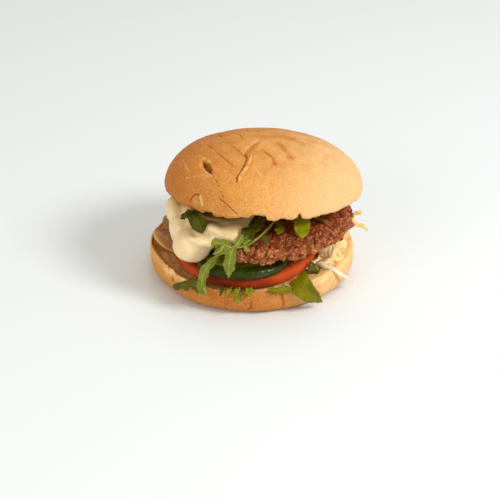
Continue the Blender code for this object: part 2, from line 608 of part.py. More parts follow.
def leaves():
    """Rocket over the patty and salad leaves on the rim of the lower bun."""
    leaf("rocket_left", [
        ribbon([(-32.5, -35.5, 52.6), (-34.8, -43.5, 52.6), (-33.5, -48.0, 50.6), (-29.0, -52.0, 48.0),
                (-25.7, -54.0, 45.8)],
               (2.0, 3.0, 4.4, 4.8, 0.6), [(0.75, 0.3, 0.5)], fold=0.12, wave=0.5),
    ], LEAF_DARK)
    leaf("rocket_sprig", [
        ribbon([(-8.8, -57.3, 42.2), (-13.7, -57.2, 40.0), (-20.9, -55.8, 31.4), (-25.2, -55.4, 24.0),
                (-26.5, -56.4, 18.0), (-27.1, -57.2, 11.7)],
               (1.0, 2.8, 3.2, 3.5, 2.8, 1.3), [(0.8, 0.1, 0.55)], fold=0.1, wave=0.4, rows=13),
        ribbon([(-9.4, -57.0, 43.4), (-11.3, -58.4, 37.6), (-12.1, -58.9, 31.5), (-12.3, -58.9, 25.0)],
               (1.0, 3.4, 3.8, 0.6), [(1.0, 0.0, 0.05)], fold=0.1, wave=0.3, rows=8),
        ribbon([(-8.4, -57.5, 41.4), (-13.5, -57.1, 43.6), (-18.0, -56.3, 44.6), (-21.6, -56.0, 43.6)],
               (0.9, 2.4, 3.0, 0.8), [(0.1, 0.2, 0.9)], wave=0.3, rows=7, columns=2),
        ribbon([(-11.0, -57.5, 41.9), (-2.7, -56.3, 43.4), (2.0, -56.2, 46.6), (7.4, -51.0, 49.0),
                (12.5, -40.0, 49.7)],
               (0.8, 0.8, 0.9, 0.9, 0.9), [(0.2, -0.4, 0.8)], thickness=1.1, rows=12, columns=1),
    ], LEAF_LIGHT)
    leaf("rocket_crown", [
        ribbon([(-4.0, -56.2, 47.0), (-1.0, -52.0, 49.6), (3.0, -45.0, 51.2), (6.0, -37.0, 51.6)],
               (1.0, 4.6, 5.0, 2.0), [(0.8, 0.5, 0.25)], fold=0.08, wave=0.4),
    ], LEAF_DARK)
    leaf("rocket_nub", [
        ribbon([(15.0, -38.0, 47.2), (15.2, -45.0, 47.1), (14.0, -50.0, 46.6)],
               (1.6, 2.4, 0.6), [(1.0, 0.1, 0.0)], wave=0.3, rows=6, columns=2),
    ], LEAF_LIGHT)
    leaf("rocket_front", [
        ribbon([(27.5, -34.0, 49.5), (27.2, -42.0, 49.0), (26.7, -48.0, 48.0), (26.9, -53.0, 46.0)],
               (3.4, 4.3, 4.0, 0.6), [(1.0, -0.1, 0.1)], fold=0.12, wave=0.4, rows=8),
    ], LEAF_LIGHT)
    leaf("rocket_right", [
        ribbon([(33.0, -28.0, 46.6), (37.0, -32.4, 46.7), (42.5, -36.0, 46.4)],
               (1.0, 1.8, 0.5), [(0.6, -0.7, 0.1)], wave=0.2, rows=6, columns=2),
    ], LEAF_LIGHT)
    leaf("salad_left", [
        ribbon([(-26.5, -46.0, 15.8), (-28.6, -50.4, 18.4), (-33.0, -50.6, 16.6), (-38.3, -46.4, 12.6),
                (-43.2, -41.6, 9.0)],
               (1.6, 2.6, 3.8, 3.2, 0.7), [(-0.88, 0.47, 0.0), (-0.62, 0.37, 0.45), (-0.35, 0.28, 0.89)],
               fold=0.03, wave=0.3, rows=11),
    ], LEAF_DARK)
    leaf("salad_front", [
        ribbon([(12.8, -48.6, 15.5), (13.6, -52.6, 16.4), (14.6, -57.0, 18.0), (15.4, -60.2, 13.8)],
               (3.5, 5.0, 5.8, 3.6), [(0.966, 0.259, 0.0)], fold=-0.04, wave=0.2, rows=8),
    ], LEAF_LIGHT)
    leaf("salad_right", [
        ribbon([(24.2, -43.0, 15.5), (27.0, -51.4, 18.3), (30.6, -54.4, 14.4), (34.6, -52.8, 9.2),
                (38.6, -49.4, 4.2)],
               (2.0, 5.6, 6.2, 4.0, 0.8), [(0.85, 0.4, 0.1), (0.75, 0.35, 0.55)],
               fold=0.1, wave=0.4, rows=12),
    ], LEAF_LIGHT)
    leaf("salad_right_inner", [
        ribbon([(30.6, -39.6, 16.3), (33.6, -39.8, 18.6), (35.4, -37.6, 21.2)],
               (2.6, 3.2, 2.4), [(1.0, 0.3, 0.0)], wave=0.3, rows=6, columns=2),
    ], LEAF_DARK)
    for index, (bearing, drop) in enumerate(((254.5, 3.4), (258.0, 4.6), (263.5, 7.0), (268.8, 2.4))):
        level = Vector((cos(radians(bearing)), sin(radians(bearing)), 0.0))
        curl = [level * radius + Vector((0.0, 0.0, height)) for radius, height in
                ((51.5, 15.2), (54.4, 15.5), (57.4, 17.2), (60.0, 16.4 - drop))]
        leaf(f"salad_curl_{index + 1}", [
            ribbon(curl, (0.8, 1.1, 1.0, 0.6), [(-level.y, level.x, 0.2)], thickness=0.9, rows=7, columns=1),
        ], LEAF_LIGHT)


def shreds():
    """Loose strips of cabbage that hang out at the right."""
    paths = {
        "cabbage_shred_front": ([(37.5, -29.0, 18.9), (43.5, -31.9, 19.2), (49.5, -34.8, 18.6), (53.6, -31.0, 12.4),
                                 (56.4, -26.0, 6.0)], (0.9, 1.1, 1.0, 0.9, 0.6), [(0.3, 0.2, 1.0)]),
        "cabbage_shred_side": ([(55.2, -3.8, 27.6), (56.6, -4.3, 27.5), (58.8, -5.0, 27.6), (61.8, -5.0, 26.6),
                                (65.8, -5.0, 24.6)], (1.0, 1.1, 1.2, 1.0, 0.6), [(0.0, 0.5, 0.9)]),
        "cabbage_shred_high": ([(57.2, -7.0, 29.0), (58.6, -5.6, 33.0), (60.4, -4.4, 36.2), (62.0, -4.0, 37.0)],
                               (0.9, 1.6, 2.0, 0.8), [(0.2, -0.9, 0.4)]),
    }
    for name, (route, half_widths, across) in paths.items():
        body = ribbon(route, half_widths, across, thickness=SHRED_THICKNESS, rows=9, columns=1)
        finish(name, body, CABBAGE_WHITE)


def main():
    """Builds every layer from the plate up."""
    for old in list(bpy.data.objects):
        bpy.data.objects.remove(old, do_unlink=True)
    bun_bottom()
    cabbage_salad()
    onion_slice()
    tomato_slice()
    cucumber_slice()
    pickle_slice_side()
    patty()
    sauce()
    pickle_slice_top()
    leaves()
    shreds()
    bun_top()


main()
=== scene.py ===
"""Looks of a veggie burger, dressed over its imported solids.

Each layer of the burger is a class that reshapes its solid into fine relief
and gives it a finish. Lengths are millimetres until a mesh is finished, and
then metres, in the same frame as the solids: the origin is the middle of the
flat underside, +Z is up and -Y is the front.
"""

import logging
import math
import random
from dataclasses import dataclass, field
from enum import Enum
from typing import Sequence, Union

import bmesh
import bpy
import numpy as np
from mathutils import Euler, Matrix, Vector, noise
from mathutils.bvhtree import BVHTree


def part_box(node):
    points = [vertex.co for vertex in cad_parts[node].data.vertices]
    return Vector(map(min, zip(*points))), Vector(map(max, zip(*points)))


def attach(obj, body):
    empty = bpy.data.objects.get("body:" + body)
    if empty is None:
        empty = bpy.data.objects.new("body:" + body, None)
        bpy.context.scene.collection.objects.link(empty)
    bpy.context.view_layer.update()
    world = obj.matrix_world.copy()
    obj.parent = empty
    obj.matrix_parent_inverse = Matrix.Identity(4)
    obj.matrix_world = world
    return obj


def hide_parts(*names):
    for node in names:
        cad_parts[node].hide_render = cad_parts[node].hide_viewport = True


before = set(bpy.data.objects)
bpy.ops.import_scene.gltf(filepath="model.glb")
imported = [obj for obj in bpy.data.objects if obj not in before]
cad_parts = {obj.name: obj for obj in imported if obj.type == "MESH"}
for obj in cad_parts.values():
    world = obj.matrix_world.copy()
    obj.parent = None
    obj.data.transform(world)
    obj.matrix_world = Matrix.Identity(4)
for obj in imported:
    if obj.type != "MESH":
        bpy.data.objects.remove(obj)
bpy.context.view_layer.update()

LOG = logging.getLogger("burger")
MM = 0.001
BODY = "root"

Colour = tuple[float, float, float, float]
Point = tuple[float, float, float]
Line = tuple[tuple[float, ...], ...]
Span = tuple[float, float]
Marks = dict[str, np.ndarray]
Weights = tuple[tuple[str, float], ...]
Feed = Union[bpy.types.NodeSocket, float, Colour]

SHEEN_TINT: Colour = (1.0, 0.84, 0.62, 1.0)
COAT_ROUGHNESS = 0.12
SOFT_DEPTH = 2.0 * MM


# Numbers and fields


def smooth(start: float, end: float, value: np.ndarray) -> np.ndarray:
    """Rise smoothly from 0 to 1.

    Args:
        start: Value where the rise begins.
        end: Value where the rise is over.
        value: Numbers to read.

    Returns:
        The share of the rise at each number.
    """
    share = np.clip((value - start) / (end - start), 0.0, 1.0)
    return share * share * (3.0 - 2.0 * share)


def hump(value: np.ndarray, centre: float, width: float) -> np.ndarray:
    """Read a bell of height 1.

    Args:
        value: Numbers to read.
        centre: Where the bell is highest.
        width: Distance at which it has fallen to about a third.

    Returns:
        The bell's height at each number.
    """
    return np.exp(-(((value - centre) / width) ** 2))


def turn(bearing: np.ndarray, centre: float, width: float) -> np.ndarray:
    """Read a bell of height 1 round a circle, in degrees.

    Args:
        bearing: Bearings to read.
        centre: Bearing where the bell is highest.
        width: Angle at which it has fallen to about a third.

    Returns:
        The bell's height at each bearing.
    """
    away = (bearing - centre + 180.0) % 360.0 - 180.0
    return np.exp(-((away / width) ** 2))


def bearings(points: np.ndarray, centre: Span = (0.0, 0.0)) -> np.ndarray:
    """Find the bearing of each point about a vertical axis, from 0 to 360 degrees."""
    return np.degrees(np.arctan2(points[:, 1] - centre[1], points[:, 0] - centre[0])) % 360.0


def reach(points: np.ndarray, centre: Span = (0.0, 0.0)) -> np.ndarray:
    """Find the level distance of each point from a vertical axis."""
    return np.hypot(points[:, 0] - centre[0], points[:, 1] - centre[1])


def lumps(points: np.ndarray, grain: float, seed: float) -> np.ndarray:
    """Read smooth noise from about -1 to 1.

    Args:
        points: Places to read, one a row.
        grain: Size of a lump.
        seed: Shift that makes this field its own.

    Returns:
        One number for each place.
    """
    shifted = points / grain + np.array((seed, -seed, 0.5 * seed))
    return np.array([noise.noise(place) for place in shifted.tolist()])


def cells(points: np.ndarray, grain: float, seed: float) -> np.ndarray:
    """Read how far each place is from the seam between two round cells.

    Args:
        points: Places to read, one a row.
        grain: Size of a cell.
        seed: Shift that makes this field its own.

    Returns:
        0 on a seam and up to about 1 inside a cell.
    """
    shifted = points / grain + np.array((seed, -seed, 0.5 * seed))
    near = [noise.voronoi(place)[0] for place in shifted.tolist()]
    return np.array([pair[1] - pair[0] for pair in near])


def crumbs(points: np.ndarray, grain: float, seed: float) -> np.ndarray:
    """Read rounded grains: about 0.5 on top of a grain and -0.5 between grains."""
    shifted = points / grain + np.array((seed, -seed, 0.5 * seed))
    return np.array([0.5 - noise.voronoi(place)[0][0] for place in shifted.tolist()])


def off_line(points: np.ndarray, line: Line) -> np.ndarray:
    """Find the distance of each point from a line.

    Args:
        points: Places to read, one a row.
        line: Points of the line, with x and y or with x, y and z.

    Returns:
        The distance of each place.
    """
    best = np.full(len(points), 1e9)
    size = len(line[0])
    for start, end in zip(line, line[1:]):
        origin = np.array(start)
        step = np.array(end) - origin
        away = points[:, :size] - origin
        share = np.clip(away @ step / (step @ step), 0.0, 1.0)
        best = np.minimum(best, np.linalg.norm(away - share[:, None] * step, axis=1))
    return best


def stroke(points: np.ndarray, line: Line, width: float) -> np.ndarray:
    """Read a bell of height 1 that follows a line."""
    return hump(off_line(points, line), 0.0, width)


def spot(points: np.ndarray, centre: Point, size: float) -> np.ndarray:
    """Read a round bell of height 1 about a point."""
    return hump(np.linalg.norm(points - np.array(centre), axis=1), 0.0, size)


def along(points: Sequence[Point], share: float) -> Vector:
    """Read a smooth curve through points.

    Args:
        points: Points of the curve.
        share: Place on it, from 0 to 1.

    Returns:
        The point at that place.
    """
    count = len(points) - 1
    place = min(max(share, 0.0), 1.0) * count
    step = min(int(place), count - 1)
    t = place - step
    p1 = Vector(points[step])
    p2 = Vector(points[step + 1])
    p0 = Vector(points[step - 1]) if step > 0 else 2.0 * p1 - p2
    p3 = Vector(points[step + 2]) if step + 2 <= count else 2.0 * p2 - p1
    bend = 2.0 * p0 - 5.0 * p1 + 4.0 * p2 - p3
    twist = 3.0 * p1 - p0 - 3.0 * p2 + p3
    return 0.5 * (2.0 * p1 + (p2 - p0) * t + bend * t**2 + twist * t**3)


def between(stops: Sequence[float], share: float) -> float:
    """Read a list of numbers as one smooth curve.

    Args:
        stops: Numbers at even steps.
        share: Place on the curve, from 0 to 1.

    Returns:
        The number at that place.
    """
    place = min(max(share, 0.0), 1.0) * (len(stops) - 1)
    low = min(int(place), len(stops) - 2)
    t = place - low
    return stops[low] + (stops[low + 1] - stops[low]) * t * t * (3.0 - 2.0 * t)


def tone(red: int, green: int, blue: int) -> Colour:
    """Turn a colour as a screen shows it into linear light, by the sRGB curve.

    Args:
        red: Red, from 0 to 255.
        green: Green, from 0 to 255.
        blue: Blue, from 0 to 255.

    Returns:
        The colour, with full cover.
    """
    parts = [value / 255.0 for value in (red, green, blue)]
    light = [p / 12.92 if p <= 0.04045 else ((p + 0.055) / 1.055) ** 2.4 for p in parts]
    return (light[0], light[1], light[2], 1.0)


# Meshes being shaped


class Clay:
    """A mesh being shaped, in millimetres."""

    def __init__(self, bm: bmesh.types.BMesh, name: str) -> None:
        """Take over a bmesh.

        Args:
            bm: The bmesh, which is freed.
            name: Name of the mesh.
        """
        self.mesh = bpy.data.meshes.new(name)
        bm.to_mesh(self.mesh)
        bm.free()

    @property
    def points(self) -> np.ndarray:
        """Places of the mesh's points.

        Returns:
            One place a row.
        """
        flat = np.empty(len(self.mesh.vertices) * 3)
        self.mesh.vertices.foreach_get("co", flat)
        return flat.reshape(-1, 3)

    @property
    def normals(self) -> np.ndarray:
        """Outward directions at the mesh's points.

        Returns:
            One direction a row.
        """
        flat = np.empty(len(self.mesh.vertices) * 3)
        self.mesh.vertex_normals.foreach_get("vector", flat)
        return flat.reshape(-1, 3)

    def place(self, points: np.ndarray) -> None:
        """Put the mesh's points at new places."""
        self.mesh.vertices.foreach_set("co", points.ravel())
        self.mesh.update()

    def push(self, amount: np.ndarray) -> None:
        """Move each point out along its normal by an amount."""
        self.place(self.points + self.normals * amount[:, None])

    def mark(self, name: str, values: np.ndarray) -> None:
        """Store a number at each point, from 0 to 1, for a material to read."""
        layer = self.mesh.attributes.get(name) or self.mesh.attributes.new(name, "FLOAT", "POINT")
        layer.data.foreach_set("value", np.clip(values, 0.0, 1.0).astype(np.float32))

    def finish(self, name: str, material: bpy.types.Material, slot: str, *nodes: str) -> bpy.types.Object:
        """Make the shaped mesh a piece of the burger.

        Args:
            name: Name of the piece.
            material: Its material.
            slot: The record's material slot; it is not used.
            *nodes: Solids that it stands for.

        Returns:
            The piece.
        """
        self.mesh.transform(Matrix.Scale(MM, 4))
        self.mesh.shade_smooth()
        self.mesh.materials.clear()
        self.mesh.materials.append(material)
        piece = bpy.data.objects.new(name, self.mesh)
        bpy.context.scene.collection.objects.link(piece)
        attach(piece, BODY)
        if nodes:
            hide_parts(*nodes)
        return piece


@dataclass(frozen=True)
class Lump:
    """A rounded lump that is melted into a layer.

    Its size holds its three half widths, and it is turned by some degrees
    about the way that points to the back.
    """

    centre: Point
    size: Point
    turned: float = 0.0

    def add(self, bm: bmesh.types.BMesh) -> None:
        """Add the lump to a bmesh as a body of its own.

        Args:
            bm: The bmesh that takes it.
        """
        turning = Matrix.Rotation(math.radians(self.turned), 4, "Y")
        place = Matrix.Translation(self.centre) @ turning @ Matrix.Diagonal((*self.size, 1.0))
        bmesh.ops.create_icosphere(bm, subdivisions=3, radius=1.0, matrix=place)


def fine_copy(node: str, voxel: float, rounds: int, lumps_on: Sequence[Lump] = ()) -> bmesh.types.BMesh:
    """Copy a solid into small even faces, in millimetres.

    Args:
        node: The solid's name.
        voxel: Size of the new faces.
        rounds: How many times the copy is smoothed.
        lumps_on: Lumps that are melted into it.

    Returns:
        The copy.
    """
    source = bmesh.new()
    source.from_mesh(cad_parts[node].data)
    bmesh.ops.remove_doubles(source, verts=source.verts[:], dist=1e-6)
    bmesh.ops.scale(source, vec=(1.0 / MM, 1.0 / MM, 1.0 / MM), verts=source.verts[:])
    for lump in lumps_on:
        lump.add(source)
    mesh = bpy.data.meshes.new(node + "_even")
    source.to_mesh(mesh)
    source.free()
    holder = bpy.data.objects.new(node + "_even", mesh)
    bpy.context.scene.collection.objects.link(holder)
    even = holder.modifiers.new("even", "REMESH")
    even.mode = "VOXEL"
    even.voxel_size = voxel
    graph = bpy.context.evaluated_depsgraph_get()
    bm = bmesh.new()
    bm.from_mesh(holder.evaluated_get(graph).to_mesh())
    bpy.data.objects.remove(holder)
    for _ in range(rounds):
        bmesh.ops.smooth_vert(
            bm, verts=bm.verts[:], factor=0.5, use_axis_x=True, use_axis_y=True, use_axis_z=True
        )
    return bm


@dataclass(frozen=True)
class Blade:
    """A thin strip along a route: a lobe of a leaf, a stalk or a shred.

    The half widths on the left and the right are read along the route, and
    so is the way in which the width lies, across. The edges stand up by the
    share lift, ripple by the height wave for a number of waves, and lose the
    share tooth of their width to a number of teeth. The seed makes the
    ripples and the teeth its own.
    """

    route: tuple[Point, ...]
    left: tuple[float, ...]
    across: tuple[Point, ...]
    right: tuple[float, ...] = ()
    lift: float = 0.1
    wave: float = 0.5
    waves: float = 2.5
    tooth: float = 0.15
    teeth: float = 7.0
    thickness: float = 0.45
    rows: int = 60
    columns: int = 14
    seed: float = 0.0

    def outline(self, share: float, side: float) -> float:
        """Read the half width at a place.

        Args:
            share: Place along the route, from 0 to 1.
            side: Place across it, from -1 to 1.

        Returns:
            The half width there, less what the teeth take away.
        """
        stops = self.right if side > 0.0 and self.right else self.left
        uneven = noise.noise((share * self.teeth * 0.9, 5.0 if side > 0.0 else 2.0, self.seed))
        phase = (share * self.teeth + self.seed + 0.6 * uneven + (0.37 if side > 0.0 else 0.0)) % 1.0
        bite = self.tooth * (1.0 - phase) * min(1.0, 8.0 * share) * (1.0 + 0.8 * uneven)
        return between(stops, share) * (1.0 - abs(side) ** 2 * bite)

    def build(self) -> bmesh.types.BMesh:
        """Build the strip.

        Returns:
            The strip, with a layer "side" that holds each point's place across
            it and a layer "run" that holds its place along it.
        """
        bm = bmesh.new()
        bmesh.ops.create_grid(bm, x_segments=self.rows, y_segments=self.columns, size=1.0)
        side_layer = bm.verts.layers.float.new("side")
        run_layer = bm.verts.layers.float.new("run")
        for vert in bm.verts:
            share = 0.5 * (vert.co.x + 1.0)
            side = vert.co.y
            middle = along(self.route, share)
            ahead = (along(self.route, share + 0.02) - along(self.route, share - 0.02)).normalized()
            width_way = along(self.across, share) if len(self.across) > 1 else Vector(self.across[0])
            width_way = (width_way - width_way.dot(ahead) * ahead).normalized()
            half = self.outline(share, side)
            uneven = noise.noise((share * self.waves * 1.3, 2.0 * side, self.seed + 9.0))
            ripple = math.sin(2.0 * math.pi * (share * self.waves + 0.25 * side) + self.seed)
            rise = self.lift * abs(side) * half + self.wave * side * side * (0.8 * ripple + uneven)
            vert.co = middle + side * half * width_way + rise * ahead.cross(width_way)
            vert[side_layer] = side * half
            vert[run_layer] = share
        bmesh.ops.triangulate(bm, faces=bm.faces[:])
        bm.normal_update()
        for vert in bm.verts:
            vert.co += 0.5 * self.thickness * vert.normal
        bmesh.ops.solidify(bm, geom=bm.faces[:], thickness=self.thickness)
        bmesh.ops.recalc_face_normals(bm, faces=bm.faces[:])
        return bm


def gather(bodies: Sequence[bmesh.types.BMesh]) -> bmesh.types.BMesh:
    """Put several bodies into one bmesh.

    Args:
        bodies: The bodies, which are freed.

    Returns:
        All of them together, in the same order.
    """
    whole = bmesh.new()
    for body in bodies:
        mesh = bpy.data.meshes.new("part")
        body.to_mesh(mesh)
        body.free()
        whole.from_mesh(mesh)
        bpy.data.meshes.remove(mesh)
    return whole


# Shared effects


def new_group(
    name: str, inputs: dict[str, Feed], outputs: Sequence[str]
) -> tuple[bpy.types.NodeTree, bpy.types.Node, bpy.types.Node]:
    """Start a shader node group.

    Args:
        name: Its name.
        inputs: Names of its inputs and their values: a colour or a number.
        outputs: Names of its outputs: those that end in Colour are colours.

    Returns:
        The group and its input and output nodes.
    """
    tree = bpy.data.node_groups.new(name, "ShaderNodeTree")
    for label, value in inputs.items():
        kind = "NodeSocketColor" if isinstance(value, tuple) else "NodeSocketFloat"
        socket = tree.interface.new_socket(label, in_out="INPUT", socket_type=kind)
        socket.default_value = value
    for label in outputs:
        kind = "NodeSocketColor" if label.endswith("Colour") else "NodeSocketFloat"
        tree.interface.new_socket(label, in_out="OUTPUT", socket_type=kind)
    return tree, tree.nodes.new("NodeGroupInput"), tree.nodes.new("NodeGroupOutput")


class Wiring:
    """Short calls for the nodes of one tree."""

    def __init__(self, tree: bpy.types.NodeTree) -> None:
        """Work on a node tree."""
        self.tree = tree

    def feed(self, socket: bpy.types.NodeSocket, value: Feed) -> None:
        """Link a socket, or set its value.

        Args:
            socket: The socket that is fed.
            value: What it takes: another node's output, a number or a colour.
        """
        if isinstance(value, bpy.types.NodeSocket):
            self.tree.links.new(value, socket)
        else:
            socket.default_value = value

    def place(self) -> bpy.types.NodeSocket:
        """Read the place on the piece, in metres."""
        return self.tree.nodes.new("ShaderNodeTexCoord").outputs["Object"]

    def noise(self, scale: Feed, detail: float = 3.0, roughness: float = 0.55) -> bpy.types.NodeSocket:
        """Read soft noise.

        Args:
            scale: Lumps to the metre.
            detail: How many finer layers are added.
            roughness: How strong the finer layers are.

        Returns:
            The noise, from 0 to 1.
        """
        made = self.tree.nodes.new("ShaderNodeTexNoise")
        self.feed(made.inputs["Vector"], self.place())
        self.feed(made.inputs["Scale"], scale)
        made.inputs["Detail"].default_value = detail
        made.inputs["Roughness"].default_value = roughness
        return made.outputs["Fac"]

    def cells(self, scale: Feed) -> bpy.types.NodeSocket:
        """Read the distance from the middle of a cell.

        Args:
            scale: Cells to the metre.

        Returns:
            The distance, in cells.
        """
        made = self.tree.nodes.new("ShaderNodeTexVoronoi")
        self.feed(made.inputs["Vector"], self.place())
        self.feed(made.inputs["Scale"], scale)
        return made.outputs["Distance"]

    def rise(self, value: Feed, start: Feed, end: Feed) -> bpy.types.NodeSocket:
        """Read how far a value has come.

        Args:
            value: The value.
            start: Where the share is 0.
            end: Where the share is 1.

        Returns:
            The share, which rises smoothly.
        """
        made = self.tree.nodes.new("ShaderNodeMapRange")
        made.interpolation_type = "SMOOTHSTEP"
        self.feed(made.inputs["Value"], value)
        self.feed(made.inputs["From Min"], start)
        self.feed(made.inputs["From Max"], end)
        return made.outputs["Result"]

    def sum(self, kind: str, first: Feed, second: Feed) -> bpy.types.NodeSocket:
        """Join two numbers.

        Args:
            kind: Kind of sum, such as ADD or MULTIPLY.
            first: The first number.
            second: The second number.

        Returns:
            The sum.
        """
        made = self.tree.nodes.new("ShaderNodeMath")
        made.operation = kind
        self.feed(made.inputs[0], first)
        self.feed(made.inputs[1], second)
        return made.outputs[0]

    def blend(self, low: Feed, high: Feed, share: Feed) -> bpy.types.NodeSocket:
        """Mix two colours.

        Args:
            low: Colour where the share is 0.
            high: Colour where the share is 1.
            share: The share.

        Returns:
            The mixed colour.
        """
        made = self.tree.nodes.new("ShaderNodeMix")
        made.data_type = "RGBA"
        self.feed(made.inputs[0], share)
        self.feed(made.inputs[6], low)
        self.feed(made.inputs[7], high)
        return made.outputs[2]

    def mark(self, name: str) -> bpy.types.NodeSocket:
        """Read a number stored at the mesh's points.

        Args:
            name: The mark's name.

        Returns:
            The number.
        """
        made = self.tree.nodes.new("ShaderNodeAttribute")
        made.attribute_name = name
        return made.outputs["Fac"]

    def use(self, group: bpy.types.NodeTree, **values: Feed) -> bpy.types.Node:
        """Place a shared group.

        Args:
            group: The group.
            **values: What its inputs take, by name.

        Returns:
            The group's node in this tree.
        """
        made = self.tree.nodes.new("ShaderNodeGroup")
        made.node_tree = group
        for label, value in values.items():
            self.feed(made.inputs[label], value)
        return made


@dataclass
class Effects:
    """Node groups that more than one finish uses, each built once."""

    mottle: bpy.types.NodeTree = field(init=False)
    pits: bpy.types.NodeTree = field(init=False)
    grain: bpy.types.NodeTree = field(init=False)

    def __post_init__(self) -> None:
        """Build the groups."""
        self.mottle = self.build_mottle()
        self.pits = self.build_pits()
        self.grain = self.build_grain()

    @staticmethod
    def build_mottle() -> bpy.types.NodeTree:
        """Build uneven colour between two tones.

        Returns:
            The group, which puts out a colour and the share of the second tone.
        """
        inputs = {"Scale": 100.0, "Contrast": 0.2, "Low": tone(0, 0, 0), "High": tone(255, 255, 255)}
        tree, start, end = new_group("Mottle", inputs, ("Colour", "Mask"))
        wires = Wiring(tree)
        value = wires.noise(start.outputs["Scale"], 5.0, 0.6)
        low = wires.sum("SUBTRACT", 0.5, start.outputs["Contrast"])
        high = wires.sum("ADD", 0.5, start.outputs["Contrast"])
        mask = wires.rise(value, low, high)
        wires.feed(end.inputs["Mask"], mask)
        wires.feed(end.inputs["Colour"], wires.blend(start.outputs["Low"], start.outputs["High"], mask))
        return tree

    @staticmethod
    def build_pits() -> bpy.types.NodeTree:
        """Build scattered round pits or specks.

        Returns:
            The group, which puts out 1 in a pit and 0 round it.
        """
        tree, start, end = new_group("Pits", {"Scale": 500.0, "Size": 0.2, "Patchy": 0.5}, ("Mask",))
        wires = Wiring(tree)
        spot = wires.cells(start.outputs["Scale"])
        wider = wires.noise(wires.sum("MULTIPLY", start.outputs["Scale"], 0.25), 2.0)
        patch = wires.rise(wider, 0.35, 0.65)
        spare = wires.sum("MULTIPLY", start.outputs["Patchy"], wires.sum("SUBTRACT", 1.0, patch))
        size = wires.sum("MULTIPLY", start.outputs["Size"], wires.sum("SUBTRACT", 1.0, spare))
        inside = wires.rise(spot, wires.sum("MULTIPLY", size, 1.6), wires.sum("MULTIPLY", size, 0.6))
        wires.feed(end.inputs["Mask"], inside)
        return tree

    @staticmethod
    def build_grain() -> bpy.types.NodeTree:
        """Build fine uneven height at two sizes.

        Returns:
            The group, which puts out a height.
        """
        tree, start, end = new_group("Grain", {"Scale": 1000.0, "Coarse": 0.4}, ("Height",))
        wires = Wiring(tree)
        fine = wires.noise(start.outputs["Scale"], 4.0, 0.6)
        coarse = wires.noise(wires.sum("MULTIPLY", start.outputs["Scale"], 0.25), 2.0)
        swell = wires.sum("MULTIPLY", coarse, start.outputs["Coarse"])
        wires.feed(end.inputs["Height"], wires.sum("ADD", fine, swell))
        return tree


EFFECTS = Effects()


class Recipe(Wiring):
    """The node tree of one material."""

    def __init__(
        self, name: str, roughness: float, specular: float = 0.5, coat: float = 0.0, soft: float = 0.0
    ) -> None:
        """Start a material.

        Args:
            name: Its name.
            roughness: How rough its surface is.
            specular: Strength of its reflection.
            coat: Weight of a clear wet layer.
            soft: Share of light that passes under its surface.
        """
        self.material = bpy.data.materials.new(name)
        self.material.use_nodes = True
        super().__init__(self.material.node_tree)
        self.shader = self.tree.nodes["Principled BSDF"]
        self.shader.inputs["Roughness"].default_value = roughness
        self.shader.inputs["Specular IOR Level"].default_value = specular
        self.shader.inputs["Specular Tint"].default_value = SHEEN_TINT
        self.shader.inputs["Coat Weight"].default_value = coat
        self.shader.inputs["Coat Roughness"].default_value = COAT_ROUGHNESS
        self.shader.inputs["Subsurface Weight"].default_value = soft
        self.shader.inputs["Subsurface Scale"].default_value = SOFT_DEPTH

    def colour(self, value: Feed) -> None:
        """Set or link the base colour."""
        self.feed(self.shader.inputs["Base Color"], value)

    def roughness(self, value: Feed) -> None:
        """Set or link the roughness."""
        self.feed(self.shader.inputs["Roughness"], value)

    def relief(self, height: Feed, depth: float) -> None:
        """Shade the surface by a height.

        Args:
            height: The height, from 0 to 1.
            depth: What the full height stands for, in millimetres.
        """
        bump = self.tree.nodes.new("ShaderNodeBump")
        bump.inputs["Strength"].default_value = 1.0
        bump.inputs["Distance"].default_value = depth * MM
        self.feed(bump.inputs["Height"], height)
        self.feed(self.shader.inputs["Normal"], bump.outputs["Normal"])


# Finishes


